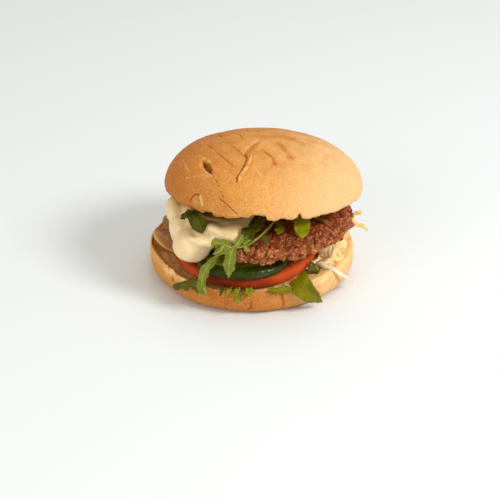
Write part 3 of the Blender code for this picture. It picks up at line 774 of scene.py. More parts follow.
@dataclass(frozen=True)
class CrustFinish:
    """Baked wheat crust, with its crumb where it is torn or cut."""

    name: str
    golden: Colour = tone(220, 158, 76)
    brown: Colour = tone(206, 136, 54)
    toast: Colour = tone(188, 106, 30)
    # Dark scorch colour, for burnt crust and also as painted shade in cracks, holes and grooves
    scorch: Colour = tone(116, 58, 20)
    crumb: Colour = tone(250, 216, 156)
    # Pale floury colour, also laid on the side that faces the lamp as painted light
    floury: Colour = tone(236, 197, 144)
    inside: Colour = tone(238, 192, 126)

    def build(self) -> bpy.types.Material:
        """Build the material.

        Returns:
            The material, which reads the marks toast, floury, scorch and pale; floury also carries painted
            light and scorch painted shade.
        """
        mix = Recipe(self.name, 0.65, 0.04, soft=0.03)
        broad = mix.use(EFFECTS.mottle, Scale=45.0, Contrast=0.22, Low=self.brown, High=self.golden)
        fine = mix.use(EFFECTS.mottle, Scale=420.0, Contrast=0.16, Low=self.brown, High=self.golden)
        skin = mix.blend(broad.outputs["Colour"], fine.outputs["Colour"], 0.4)
        # floury mark: flour, and painted light on the lit side
        skin = mix.blend(skin, self.floury, mix.mark("floury"))
        skin = mix.blend(skin, self.toast, mix.mark("toast"))
        speckle = mix.use(EFFECTS.mottle, Scale=1500.0, Contrast=0.1, Low=self.toast, High=self.crumb)
        skin = mix.blend(skin, speckle.outputs["Colour"], 0.22)
        # Pores in the crust are darkened with the toast colour, and holes in the crumb with the brown:
        # painted shade in the pits
        pores = mix.use(EFFECTS.pits, Scale=700.0, Size=0.16, Patchy=0.9)
        skin = mix.blend(skin, self.toast, mix.sum("MULTIPLY", pores.outputs["Mask"], 0.35))
        inner = mix.use(EFFECTS.mottle, Scale=260.0, Contrast=0.2, Low=self.inside, High=self.crumb)
        holes = mix.use(EFFECTS.pits, Scale=380.0, Size=0.3, Patchy=0.5)
        hollow = mix.sum("MULTIPLY", holes.outputs["Mask"], 0.35)
        crumb = mix.blend(inner.outputs["Colour"], self.brown, hollow)
        skin = mix.blend(skin, crumb, mix.mark("pale"))
        # scorch mark: burnt crust, and painted shade in recesses
        skin = mix.blend(skin, self.scorch, mix.mark("scorch"))
        mix.colour(skin)
        mix.roughness(mix.rise(fine.outputs["Mask"], -1.2, 2.2))
        grain = mix.use(EFFECTS.grain, Scale=1300.0, Coarse=0.9)
        sunk = mix.sum("MULTIPLY", pores.outputs["Mask"], -0.5)
        mix.relief(mix.sum("ADD", grain.outputs["Height"], sunk), 0.34)
        return mix.material


@dataclass(frozen=True)
class PattyFinish:
    """Seared patty: dark moist crust, and lighter crumbly clumps at the side."""

    dark: Colour = tone(92, 26, 6)
    brown: Colour = tone(160, 54, 18)
    clump: Colour = tone(190, 92, 46)
    light: Colour = tone(250, 164, 104)
    # Nearly black colour of the crevices: painted shade.
    seam: Colour = tone(52, 16, 5)
    # Whitish specks: fat, and also painted glints.
    fat: Colour = tone(240, 204, 170)

    def build(self) -> bpy.types.Material:
        """Build the material.

        Returns:
            The material, which reads the marks side and seam.
        """
        mix = Recipe("patty", 0.42, 0.16, coat=0.05)
        side = mix.mark("side")
        crust = mix.use(EFFECTS.mottle, Scale=380.0, Contrast=0.2, Low=self.dark, High=self.brown)
        clumps = mix.use(EFFECTS.mottle, Scale=260.0, Contrast=0.2, Low=self.clump, High=self.light)
        body = mix.blend(crust.outputs["Colour"], clumps.outputs["Colour"], side)
        # The seam mark darkens crevices, grain hollows and deep pits: painted shade.
        body = mix.blend(body, self.seam, mix.mark("seam"))
        crumb = mix.use(EFFECTS.mottle, Scale=640.0, Contrast=0.07, Low=self.dark, High=self.light)
        share = mix.sum("ADD", 0.2, mix.sum("MULTIPLY", side, 0.3))
        body = mix.blend(body, crumb.outputs["Colour"], share)
        # Whitish fat specks, which also stand in for glints: partly painted highlight.
        specks = mix.use(EFFECTS.pits, Scale=420.0, Size=0.2, Patchy=0.9)
        mix.colour(mix.blend(body, self.fat, mix.sum("MULTIPLY", specks.outputs["Mask"], 0.7)))
        mix.roughness(mix.rise(crust.outputs["Mask"], -1.0, 1.9))
        grain = mix.use(EFFECTS.grain, Scale=1300.0, Coarse=1.2)
        mix.relief(mix.sum("ADD", grain.outputs["Height"], crumb.outputs["Mask"]), 0.6)
        return mix.material


@dataclass(frozen=True)
class WetFinish:
    """Wet cut vegetable: flesh inside, skin or edge outside."""

    name: str
    flesh: Colour
    deep: Colour
    rind: Colour
    rind_deep: Colour
    # Colour laid on by the mark shade: painted shade on the tomato, and the onion's own fried browning.
    shade: Colour = tone(20, 10, 4)
    soft: float = 0.15
    roughness: float = 0.25
    specular: float = 0.4
    coat: float = 0.2
    depth: float = 0.12

    def build(self) -> bpy.types.Material:
        """Build the material.

        Returns:
            The material, which reads the marks rind, deep, shade and gloss.
        """
        mix = Recipe(self.name, self.roughness, self.specular, coat=self.coat, soft=self.soft)
        flesh = mix.use(EFFECTS.mottle, Scale=190.0, Contrast=0.2, Low=self.deep, High=self.flesh)
        body = mix.blend(flesh.outputs["Colour"], self.deep, mix.mark("deep"))
        rind = mix.use(EFFECTS.mottle, Scale=110.0, Contrast=0.2, Low=self.rind_deep, High=self.rind)
        body = mix.blend(body, rind.outputs["Colour"], mix.mark("rind"))
        mix.colour(mix.blend(body, self.shade, mix.mark("shade")))
        gloss = mix.sum("ADD", self.coat, mix.mark("gloss"))
        mix.feed(mix.shader.inputs["Coat Weight"], gloss)
        wet = mix.use(EFFECTS.grain, Scale=420.0, Coarse=1.0)
        mix.relief(wet.outputs["Height"], self.depth)
        return mix.material


@dataclass(frozen=True)
class CreamFinish:
    """Thick glossy mayonnaise with a few specks in it."""

    cream: Colour = tone(242, 222, 178)
    shade: Colour = tone(230, 206, 154)
    speck: Colour = tone(110, 90, 40)
    herb: Colour = tone(60, 56, 16)

    def build(self) -> bpy.types.Material:
        """Build the material.

        Returns:
            The material, which reads the marks thin and herb.
        """
        mix = Recipe("mayonnaise", 0.3, 0.5, coat=0.2, soft=0.2)
        body = mix.use(EFFECTS.mottle, Scale=70.0, Contrast=0.25, Low=self.shade, High=self.cream)
        colour = mix.blend(body.outputs["Colour"], self.shade, mix.mark("thin"))
        specks = mix.use(EFFECTS.pits, Scale=260.0, Size=0.07, Patchy=1.0)
        colour = mix.blend(colour, self.speck, mix.sum("MULTIPLY", specks.outputs["Mask"], 0.6))
        mix.colour(mix.blend(colour, self.herb, mix.mark("herb")))
        grain = mix.use(EFFECTS.grain, Scale=160.0, Coarse=1.0)
        mix.relief(grain.outputs["Height"], 0.25)
        return mix.material


class Green(Enum):
    """Tones of the leaves: blade, shade and vein."""

    DARK = (tone(72, 76, 2), tone(46, 52, 1), tone(110, 112, 28))
    OLIVE = (tone(102, 94, 4), tone(74, 70, 2), tone(134, 126, 34))
    SAGE = (tone(128, 136, 40), tone(98, 108, 20), tone(190, 190, 118))
    MIDDLE = (tone(128, 120, 2), tone(92, 92, 1), tone(152, 148, 34))
    BRIGHT = (tone(148, 150, 14), tone(110, 118, 6), tone(180, 176, 60))


@dataclass(frozen=True)
class LeafFinish:
    """Leaf blade with pale veins and a waxy gloss."""

    green: Green

    def build(self) -> bpy.types.Material:
        """Build the material.

        Returns:
            The material, which reads the mark vein.
        """
        blade, shade, vein = self.green.value
        mix = Recipe("leaf_" + self.green.name.lower(), 0.36, 0.12, coat=0.18, soft=0.06)
        body = mix.use(EFFECTS.mottle, Scale=230.0, Contrast=0.24, Low=shade, High=blade)
        mix.colour(mix.blend(body.outputs["Colour"], vein, mix.mark("vein")))
        grain = mix.use(EFFECTS.grain, Scale=900.0, Coarse=1.0)
        mix.relief(grain.outputs["Height"], 0.12)
        return mix.material


@dataclass(frozen=True)
class CabbageFinish:
    """Pale dressed cabbage, wet and a little see-through."""

    name: str = "cabbage"
    pale: Colour = tone(255, 236, 190)
    straw: Colour = tone(250, 212, 140)
    core: Colour = tone(234, 190, 112)

    def build(self) -> bpy.types.Material:
        """Build the material.

        Returns:
            The material, which reads the mark core.
        """
        mix = Recipe(self.name, 0.4, 0.16, coat=0.06, soft=0.1)
        body = mix.use(EFFECTS.mottle, Scale=120.0, Contrast=0.2, Low=self.straw, High=self.pale)
        mix.colour(mix.blend(body.outputs["Colour"], self.core, mix.mark("core")))
        grain = mix.use(EFFECTS.grain, Scale=500.0, Coarse=0.7)
        mix.relief(grain.outputs["Height"], 0.2)
        return mix.material


# Layers


@dataclass
class Layer:
    """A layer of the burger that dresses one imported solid.

    Its faces are as large as voxel, and they are smoothed for a number of
    rounds before they are shaped.
    """

    node: str
    slot: str
    voxel: float = 0.8
    rounds: int = 6
    lumps_on: tuple[Lump, ...] = ()

    def clay(self) -> Clay:
        """Copy the solid as a fine mesh to shape."""
        return Clay(fine_copy(self.node, self.voxel, self.rounds, self.lumps_on), self.node)

    def finish(self, clay: Clay, material: bpy.types.Material) -> bpy.types.Object:
        """Make the shaped copy stand for the solid."""
        return clay.finish("dressed_" + self.node, material, self.slot, self.node)


@dataclass
class Crown(Layer):
    """Upper bun: score lines, a torn flap, a slot, scratches and a ragged lip.

    Places are on the upright dome, whose middle is centre and which leans by
    tilt and roll in degrees. Each band is a line with its width and weight of
    toast, and each bite has its start, peak and end from left to right and
    its height. The heights are those of the marks by name, and so are the
    weights of the dark scorch colour in the scores, crack, slot, notch and
    crease, which is painted shade in these recesses.
    """

    node: str = "bun_top"
    slot: str = "crust"
    voxel: float = 0.66
    rounds: int = 9
    centre: Point = (6.7, -1.8, 52.6)
    tilt: float = -6.5
    roll: float = 1.3
    sink: float = 0.12
    finer_within: float = 2.2
    finer_above: float = 2.0
    scores: tuple[Line, ...] = (
        ((-31.6, -2.3), (-24.4, -19.2), (-17.0, -32.2)),
        ((-26.1, 15.1), (-18.6, -8.7), (-11.4, -23.5)),
        ((-17.1, 18.8), (-12.1, -0.5)),
        ((-1.1, -17.4), (4.0, -25.3), (4.9, -30.7)),
    )
    bands: tuple[tuple[Line, float, float], ...] = (
        (((7.1, -5.9), (10.4, -14.8), (14.0, -23.8)), 1.7, 0.75),
        (((-1.1, -17.4), (4.0, -25.3), (4.9, -30.7)), 1.3, 0.6),
        (((4.9, -30.0), (5.1, -31.0)), 1.2, 1.0),
        (((-4.0, 4.0), (6.0, 3.0), (16.0, 2.0)), 4.0, 0.5),
        (((13.9, 6.1), (20.9, -4.7)), 1.8, 0.3),
    )
    scratches: tuple[Line, ...] = (
        ((-44.9, -8.6, 16.2), (-42.9, -17.2, 15.7), (-40.4, -26.0, 14.3)),
        ((-31.7, -29.5, 16.9), (-29.0, -32.3, 16.3), (-25.7, -37.4, 16.2)),
        ((-24.1, -34.1, 18.4), (-20.4, -34.2, 19.7)),
        ((-42.6, -26.7, 12.2), (-37.6, -29.9, 14.4), (-32.2, -31.9, 16.0)),
        ((-5.5, -34.4, 22.1), (-3.9, -37.3, 20.9), (-2.3, -40.8, 19.3)),
        ((-36.6, -11.8, 20.4), (-33.7, -16.9, 20.5), (-29.8, -22.9, 20.3)),
        ((1.4, -49.2, 12.6), (6.2, -47.4, 14.6)),
        ((-13.4, -44.6, 15.4), (-9.8, -47.6, 13.6)),
    )
    crack: Line = (
        (-11.2, -19.8),
        (-10.1, -25.8),
        (-11.1, -31.3),
        (-13.5, -36.5),
        (-15.3, -40.2),
        (-15.0, -42.6),
    )
    ridge: Line = ((-4.3, -2.2), (-7.1, -8.4), (-10.9, -15.4), (-11.2, -19.8))
    flap: Line = (
        (-7.5, -24.0),
        (-8.2, -28.6),
        (-9.5, -33.1),
        (-11.6, -37.3),
        (-13.4, -41.1),
        (-13.9, -42.5),
    )
    hole: Line = ((-33.6, -19.6), (-28.7, -31.8))
    hole_width: float = 3.6
    flap_width: float = 2.0
    notch: Line = (
        (-40.0, -37.5, 2.8),
        (-39.5, -37.1, 5.0),
        (-38.1, -37.3, 6.5),
        (-36.5, -38.3, 7.3),
        (-35.1, -39.6, 7.4),
    )
    notch_edge: Line = ((-34.8, -40.0, 7.3), (-34.0, -42.2, 5.5), (-33.4, -43.8, 2.8))
    notch_floor: Point = (-36.9, -40.2, 3.6)
    crease: Line = (
        (-24.3, -47.1, 8.7),
        (-21.6, -49.4, 7.1),
        (-18.9, -51.3, 5.4),
        (-16.2, -52.9, 3.2),
        (-14.1, -53.8, 1.3),
    )
    crease_side: Point = (-21.8, -49.6, 4.0)
    torn: Line = ((-6.0, -10.0), (-7.6, -16.8), (-8.2, -22.6))
    bites: tuple[tuple[float, float, float, float], ...] = (
        (-3.0, 1.5, 8.6, 3.0),
        (24.2, 25.0, 27.0, 2.2),
        (-26.0, -23.5, -20.0, 1.2),
        (13.0, 15.0, 19.0, 0.8),
    )
    heights: Weights = (
        ("flap", 0.55),
        ("ridge", 0.28),
        ("flake", 0.25),
        ("notch_edge", 0.5),
        ("score", -0.55),
        ("panel", -0.12),
        ("crack", -0.95),
        ("hole", -2.6),
        ("furrow", -0.4),
        ("notch", -0.9),
        ("notch_floor", -0.5),
        ("crease", -0.7),
        ("crease_side", -0.3),
    )
    # Painted shade: the dark scorch colour laid into the scores, crack, slot, notch and crease.
    scorches: Weights = (("score", 0.35), ("crack", 0.6), ("hole", 0.7), ("notch", 0.55), ("crease", 0.4))

    def local(self, points: np.ndarray) -> np.ndarray:
        """Turn places on the burger into places on the upright dome."""
        turned = Euler((math.radians(self.tilt), math.radians(self.roll), 0.0)).to_matrix()
        return (points - np.array(self.centre)) @ np.array(turned)

    def near_marks(self, points: np.ndarray) -> np.ndarray:
        """Find how far each place on the dome is from the nearest mark.

        Args:
            points: Places on the upright dome, one a row.

        Returns:
            The distance of each place.
        """
        torn = (self.crack, self.ridge, self.flap, self.hole, self.notch, self.notch_edge, self.crease)
        lines = (*self.scores, *self.scratches, *torn)
        return np.minimum.reduce([off_line(points, line) for line in lines])

    def refined(self) -> Clay:
        """Copy the solid as a fine mesh that is finer still round the marks.

        Returns:
            The mesh to shape.
        """
        bm = fine_copy(self.node, self.voxel, self.rounds)
        spots = self.local(np.array([vert.co[:] for vert in bm.verts]))
        close = (self.near_marks(spots) < self.finer_within) & (spots[:, 2] > self.finer_above)
        bm.verts.ensure_lookup_table()
        edges = [edge for edge in bm.edges if close[edge.verts[0].index] and close[edge.verts[1].index]]
        bmesh.ops.subdivide_edges(bm, edges=edges, cuts=1, use_grid_fill=True)
        return Clay(bm, self.node)

    def slot_depth(self, points: np.ndarray) -> np.ndarray:
        """Read the depth of the lens-shaped slot.

        Args:
            points: Places on the upright dome, one a row.

        Returns:
            The depth of each place, from 0 to 1.
        """
        start, end = (np.array(spot) for spot in self.hole)
        ahead = (end - start) / np.linalg.norm(end - start)
        away = points[:, :2] - 0.5 * (start + end)
        run = away @ ahead / (0.5 * np.linalg.norm(end - start))
        side = (away[:, 0] * ahead[1] - away[:, 1] * ahead[0]) / (0.5 * self.hole_width)
        return np.sqrt(np.clip(1.0 - np.abs(side) / np.maximum(1.0 - run**2, 0.02), 0.0, 1.0))

    def bite_lip(self, clay: Clay) -> None:
        """Lift the lip where it is torn away at the front.

        Args:
            clay: The upper bun's mesh.
        """
        points = clay.points
        spots = self.local(points)
        front = smooth(-30.0, -42.0, spots[:, 1]) * (1.0 - smooth(0.0, 6.5, spots[:, 2]))
        for start, peak, end, height in self.bites:
            rise = smooth(start, peak, points[:, 0])
            fall = 1.0 - smooth(end - 1.4, end, points[:, 0])
            points[:, 2] += height * rise * fall * front
        ragged = 0.8 * lumps(points * (1.0, 1.0, 0.3), 3.4, 61.0) + 0.4 * lumps(points, 1.5, 63.0)
        points[:, 2] += ragged * hump(spots[:, 2], -0.6, 2.2) * smooth(44.0, 52.0, reach(spots))
        clay.place(points)

    def read_marks(self, spots: np.ndarray) -> Marks:
        """Read how strongly each mark shows.

        Args:
            spots: Places on the upright dome, one a row.

        Returns:
            A number from 0 to 1 at each place, by the mark's name.
        """
        off_scores = [off_line(spots, line) for line in self.scores]
        off_score = np.minimum.reduce(off_scores)
        off_ridge = off_line(spots, self.ridge) + 0.35 * lumps(spots, 1.5, 29.0)
        off_flap = off_line(spots, self.flap) + 0.55 * lumps(spots, 1.7, 19.0)
        off_flap /= 0.45 + 0.55 * smooth(-24.0, -32.0, spots[:, 1])
        return {
            "dome": smooth(0.0, 3.0, spots[:, 2]),
            "under": 1.0 - smooth(-1.6, -0.4, spots[:, 2]),
            "score": hump(off_score, 0.0, 0.34) * smooth(-0.35, 0.1, lumps(spots, 6.0, 5.0)),
            "panel": hump(off_score, 0.0, 2.4),
            "crack": stroke(spots, self.crack, 0.45),
            "ridge": hump(off_ridge, 0.0, 0.42),
            "flap": 1.0 - smooth(0.25 * self.flap_width, 0.55 * self.flap_width, off_flap),
            "furrow": hump(off_flap, 0.75 * self.flap_width, 0.5),
            "torn": stroke(spots, self.torn, 2.6),
            "hole": self.slot_depth(spots),
            "flake": hump(off_line(spots, self.hole), 2.0, 0.9),
            "notch": stroke(spots, self.notch, 0.42),
            "notch_edge": stroke(spots, self.notch_edge, 0.6),
            "notch_floor": spot(spots, self.notch_floor, 2.6),
            "crease": stroke(spots, self.crease, 0.36),
            "crease_side": spot(spots, self.crease_side, 3.2),
        }

    def relief(self, spots: np.ndarray, marks: Marks) -> np.ndarray:
        """Read how far the crust is lifted or sunk.

        The whole dome is sunk a little, so that its swellings stay inside the solid.

        Args:
            spots: Places on the upright dome, one a row.
            marks: The marks there.

        Returns:
            How far each place goes outwards.
        """
        swell = 0.3 * lumps(spots, 14.0, 3.0) + 0.12 * lumps(spots, 5.0, 9.0)
        wrinkle = 0.05 * (1.0 - np.abs(lumps(spots * (1.0, 0.6, 1.0), 1.8, 15.0)) * 2.0)
        raised = sum(height * marks[name] for name, height in self.heights)
        rough = marks["torn"] * (0.5 * lumps(spots, 1.6, 17.0) - 0.3)
        pores = 0.5 * (1.0 - smooth(0.1, 0.4, cells(spots, 3.0, 33.0)))
        return marks["dome"] * (swell + wrinkle - self.sink + raised + rough) - marks["under"] * pores

    def pale_share(self, spots: np.ndarray, marks: Marks) -> np.ndarray:
        """Read where scratches, torn edges, flour and the cut underside show pale crumb; on the flap and the
        ridge the pale is partly a painted highlight.

        Args:
            spots: Places on the upright dome, one a row.
            marks: The marks there.

        Returns:
            The share of pale crumb at each place.
        """
        broken = smooth(-0.25, 0.15, lumps(spots, 1.6, 41.0))
        scratch = np.maximum.reduce([stroke(spots, line, 0.32) for line in self.scratches])
        # The raised flap and ridge are made pale partly as painted highlight on their lit edges and partly
        # as torn crumb.
        lit = marks["flap"] * smooth(-0.35, 0.25, lumps(spots, 1.7, 43.0))
        flour = smooth(0.15, 0.6, lumps(spots, 1.3, 49.0)) * smooth(0.0, 0.5, lumps(spots, 8.0, 53.0))
        pale = 0.7 * scratch * (0.35 + 0.65 * broken) + 0.55 * lit + 0.5 * marks["ridge"]
        pale += 0.35 * marks["flake"] * broken + 0.8 * marks["notch_edge"]
        pale += 0.3 * marks["notch_floor"] * (1.0 - marks["notch"])
        pale += 0.2 * flour * smooth(24.0, 10.0, spots[:, 2])
        crumb = marks["under"] * smooth(-0.5, 0.2, lumps(spots, 6.0, 45.0))
        return np.maximum(marks["dome"] * pale, crumb)

    def toast_share(self, spots: np.ndarray, marks: Marks) -> np.ndarray:
        """Read where the crust is darker: baked at the back, the top and beside the marks, and at the left
        and in the dent beside the crease partly as painted shade.

        Args:
            spots: Places on the upright dome, one a row.
            marks: The marks there.

        Returns:
            The share of toasted crust at each place.
        """
        # The left of the dome, away from the lamp, is darkened partly by baking and partly as painted shade.
        toast = smooth(-8.0, -52.0, spots[:, 0]) + 0.55 * smooth(0.0, 24.0, spots[:, 1])
        blotch = 1.0 + 0.9 * lumps(spots, 3.6, 55.0)
        for line, width, weight in self.bands:
            toast = np.maximum(toast, weight * stroke(spots, line, width) * blotch)
        toast += 0.4 * smooth(-0.3, 0.6, lumps(spots, 7.0, 51.0)) * smooth(14.0, 25.0, spots[:, 2])
        toast += 0.5 * marks["torn"] * (1.0 - marks["flap"]) * blotch
        # The dent beside the crease is darkened as painted shade; the panels beside the scores are toasted.
        toast += 0.15 * marks["panel"] + 0.5 * marks["dome"] * marks["crease_side"]
        return toast * (1.0 - marks["under"])

    def build(self) -> bpy.types.Object:
        """Shape and dress the upper bun.

        Returns:
            The piece.
        """
        clay = self.refined()
        spots = self.local(clay.points)
        marks = self.read_marks(spots)
        clay.push(self.relief(spots, marks))
        clay.mark("pale", self.pale_share(spots, marks))
        clay.mark("toast", self.toast_share(spots, marks))
        # The recesses are darkened as painted shade; the thin dark line round the lower edge of the lip is
        # the crust's own colour.
        dark = np.maximum.reduce([weight * marks[name] for name, weight in self.scorches])
        edge = hump(spots[:, 2], -0.9, 0.9) * smooth(48.0, 53.0, reach(spots))
        scorch = np.maximum(marks["dome"] * dark, 0.6 * edge)
        clay.mark("scorch", scorch * (0.8 + 0.5 * lumps(spots, 2.5, 47.0)))
        # The crust is made floury and paler towards the right, the side that faces the lamp: partly flour,
        # partly painted light.
        flour = smooth(-24.0, 42.0, spots[:, 0] - 0.3 * spots[:, 2])
        clay.mark("floury", flour * (1.0 - marks["under"]))
        self.bite_lip(clay)
        return self.finish(clay, CrustFinish("crown_crust").build())


@dataclass
class Heel(Layer):
    """Lower bun: cracked crust, torn rim, toasted cut face with pores.

    The cut face lies at the height face, the groove behind the rim goes down
    to the height groove, and rim is the radius at which the rim is highest.
    """

    node: str = "bun_bottom"
    slot: str = "crust"
    voxel: float = 0.78
    rounds: int = 6
    rim: float = 57.3
    face: float = 14.2
    groove: float = 9.0
    climb: float = 2.5
    patch: Line = ((-45.8, -33.5, 15.6), (-41.4, -39.6, 16.0), (-36.4, -44.8, 15.4))
    holes: tuple[Point, ...] = ((-44.2, -37.6, 11.2), (-42.2, -32.6, 15.8))
    cracks: Weights = (("split", 0.9), ("fissure", 0.8), ("fine", 0.4), ("tear", 0.7))
    # Weights of the dark scorch colour in the cracks: painted shade.
    scorches: Weights = (("split", 0.55), ("fissure", 0.55), ("fine", 0.3), ("tear", 0.45))

    def fill_groove(self, clay: Clay) -> None:
        """Let the cut face climb to the rim, away from the front and the left.

        Args:
            clay: The lower bun's mesh.
        """
        spots = clay.points
        out = reach(spots)
        sides = 1.0 - turn(bearings(spots), 266.0, 30.0)
        filled = smooth(-12.0, 14.0, spots[:, 0])
        climb = self.climb * smooth(43.0, 56.8, out) * sides
        ramp = self.groove + filled * (self.face - self.groove + climb)
        on_top = (out < self.rim) & (spots[:, 2] > self.groove)
        spots[:, 2] = np.where(on_top, np.maximum(spots[:, 2], ramp), spots[:, 2])
        clay.place(spots)

    def read_marks(self, spots: np.ndarray) -> Marks:
        """Read how strongly each mark shows.

        Args:
            spots: Places on the lower bun, one a row.

        Returns:
            A number from 0 to 1 at each place, by the mark's name.
        """
        bearing = bearings(spots)
        out = reach(spots)
        height = spots[:, 2]
        ragged = smooth(-0.2, 0.3, lumps(spots, 5.0, 14.0))
        tear = turn(bearing + 9.0 * lumps(spots, 7.0, 10.0), 262.0, 26.0) * ragged
        return {
            "cut": (1.0 - smooth(53.0, 55.5, out)) * smooth(8.0, 12.0, height),
            "wall": smooth(54.0, 57.0, out) * smooth(0.3, 2.0, height),
            "foot": 1.0 - smooth(0.5, 3.5, height),
            "rim": smooth(53.5, 55.5, out) * smooth(13.5, 15.5, height),
            "lip": smooth(36.0, 42.0, out) * smooth(12.0, 13.5, height),
            "left": smooth(5.0, -25.0, spots[:, 0]),
            "right": smooth(15.0, 40.0, spots[:, 0]),
            "split": turn(bearing + 1.5 * lumps(spots, 5.0, 5.0), 287.3, 0.55) * smooth(0.5, 5.0, height),
            "fissure": turn(bearing + 2.5 * lumps(spots, 6.0, 7.0), 269.0, 0.6) * smooth(13.0, 6.0, height),
            "fine": turn(bearing + 3.0 * lumps(spots, 4.0, 9.0), 256.0, 0.5) * smooth(12.0, 8.0, height),
            "tear": tear * hump(height + 2.0 * lumps(spots, 6.0, 12.0), 1.6, 0.7),
            "patch": stroke(spots, self.patch, 3.6) * smooth(-0.55, 0.0, lumps(spots, 3.0, 11.0)),
            "hole": np.maximum.reduce([spot(spots, centre, 1.1) for centre in self.holes]),
            # groove: where painted shade darkens the groove behind the rim.
            "groove": hump(out, 53.5, 0.9) * smooth(9.0, 12.0, height) * smooth(-10.0, -40.0, spots[:, 0]),
        }

    def relief(self, spots: np.ndarray, marks: Marks) -> np.ndarray:
        """Read how far the crust and the cut face are lifted or sunk.

        Args:
            spots: Places on the lower bun, one a row.
            marks: The marks there.

        Returns:
            How far each place goes outwards.
        """
        wavy = 0.35 * lumps(spots, 12.0, 13.0) + 0.12 * lumps(spots, 3.0, 15.0)
        cracked = sum(depth * marks[name] for name, depth in self.cracks)
        pores = smooth(0.05, 0.4, crumbs(spots, 2.2, 3.0)) * smooth(-0.4, 0.3, lumps(spots, 7.0, 17.0))
        crumb = 1.3 * crumbs(spots, 2.8, 31.0) + 0.6 * lumps(spots, 2.0, 35.0)
        crumb *= smooth(0.0, -25.0, spots[:, 0])
        raised = marks["wall"] * (wavy - cracked)
        raised += marks["cut"] * (0.35 * lumps(spots, 5.0, 19.0) + crumb - 0.55 * pores)
        raised += marks["rim"] * (0.2 * lumps(spots, 3.6, 21.0) + 0.08 * lumps(spots, 1.3, 23.0))
        return raised + marks["patch"] * (0.5 * lumps(spots, 1.8, 29.0) - 0.4) - 1.8 * marks["hole"]

    def colour(self, clay: Clay, spots: np.ndarray, marks: Marks) -> None:
        """Mark where the lower bun is pale, scorched, toasted and floury, with painted light on the right
        and painted shade in its recesses.

        Args:
            clay: The lower bun's mesh.
            spots: Places on it before its relief, one a row.
            marks: The marks there.
        """
        cut = marks["cut"]
        wall = marks["wall"]
        left = marks["left"]
        right = marks["right"]
        face = 0.95 * cut * (1.0 - 0.6 * left)
        # The rim and the wall are made paler on the right, the side that faces the lamp: painted light.
        rim = marks["rim"] * (0.3 + 0.7 * right)
        lit = 0.7 * wall * right * smooth(2.0, 11.0, spots[:, 2])
        clay.mark("pale", np.maximum.reduce([face, rim, lit, 1.1 * marks["patch"], right * marks["lip"]]))
        # Darkening in the cracks, the holes and the groove behind the rim is painted shade; the burnt spots
        # on the left of the cut face are the bun's own colour.
        cracked = [weight * wall * marks[name] for name, weight in self.scorches]
        scorch = np.maximum.reduce([*cracked, marks["hole"], 0.45 * marks["groove"]])
        burnt = cut * left * smooth(0.1, 0.7, lumps(spots, 8.0, 25.0))
        clay.mark("scorch", scorch + 0.12 * burnt)
        toast = 0.7 * marks["foot"] + 0.3 * wall * smooth(0.0, 0.5, lumps(spots, 10.0, 27.0))
        toast += 1.1 * wall * turn(bearings(spots), 262.0, 34.0)
        browned = 0.5 * cut * left * (1.0 + 1.2 * lumps(spots, 3.0, 33.0))
        clay.mark("toast", np.maximum((1.0 - cut) * toast, browned))
        # The floury tone on the right wall is painted light as well.
        clay.mark("floury", 0.8 * wall * right)

    def build(self) -> bpy.types.Object:
        """Shape and dress the lower bun.

        Returns:
            The piece.
        """
        clay = self.clay()
        self.fill_groove(clay)
        spots = clay.points
        marks = self.read_marks(spots)
        clay.push(self.relief(spots, marks))
        self.colour(clay, spots, marks)
        return self.finish(clay, CrustFinish("heel_crust").build())


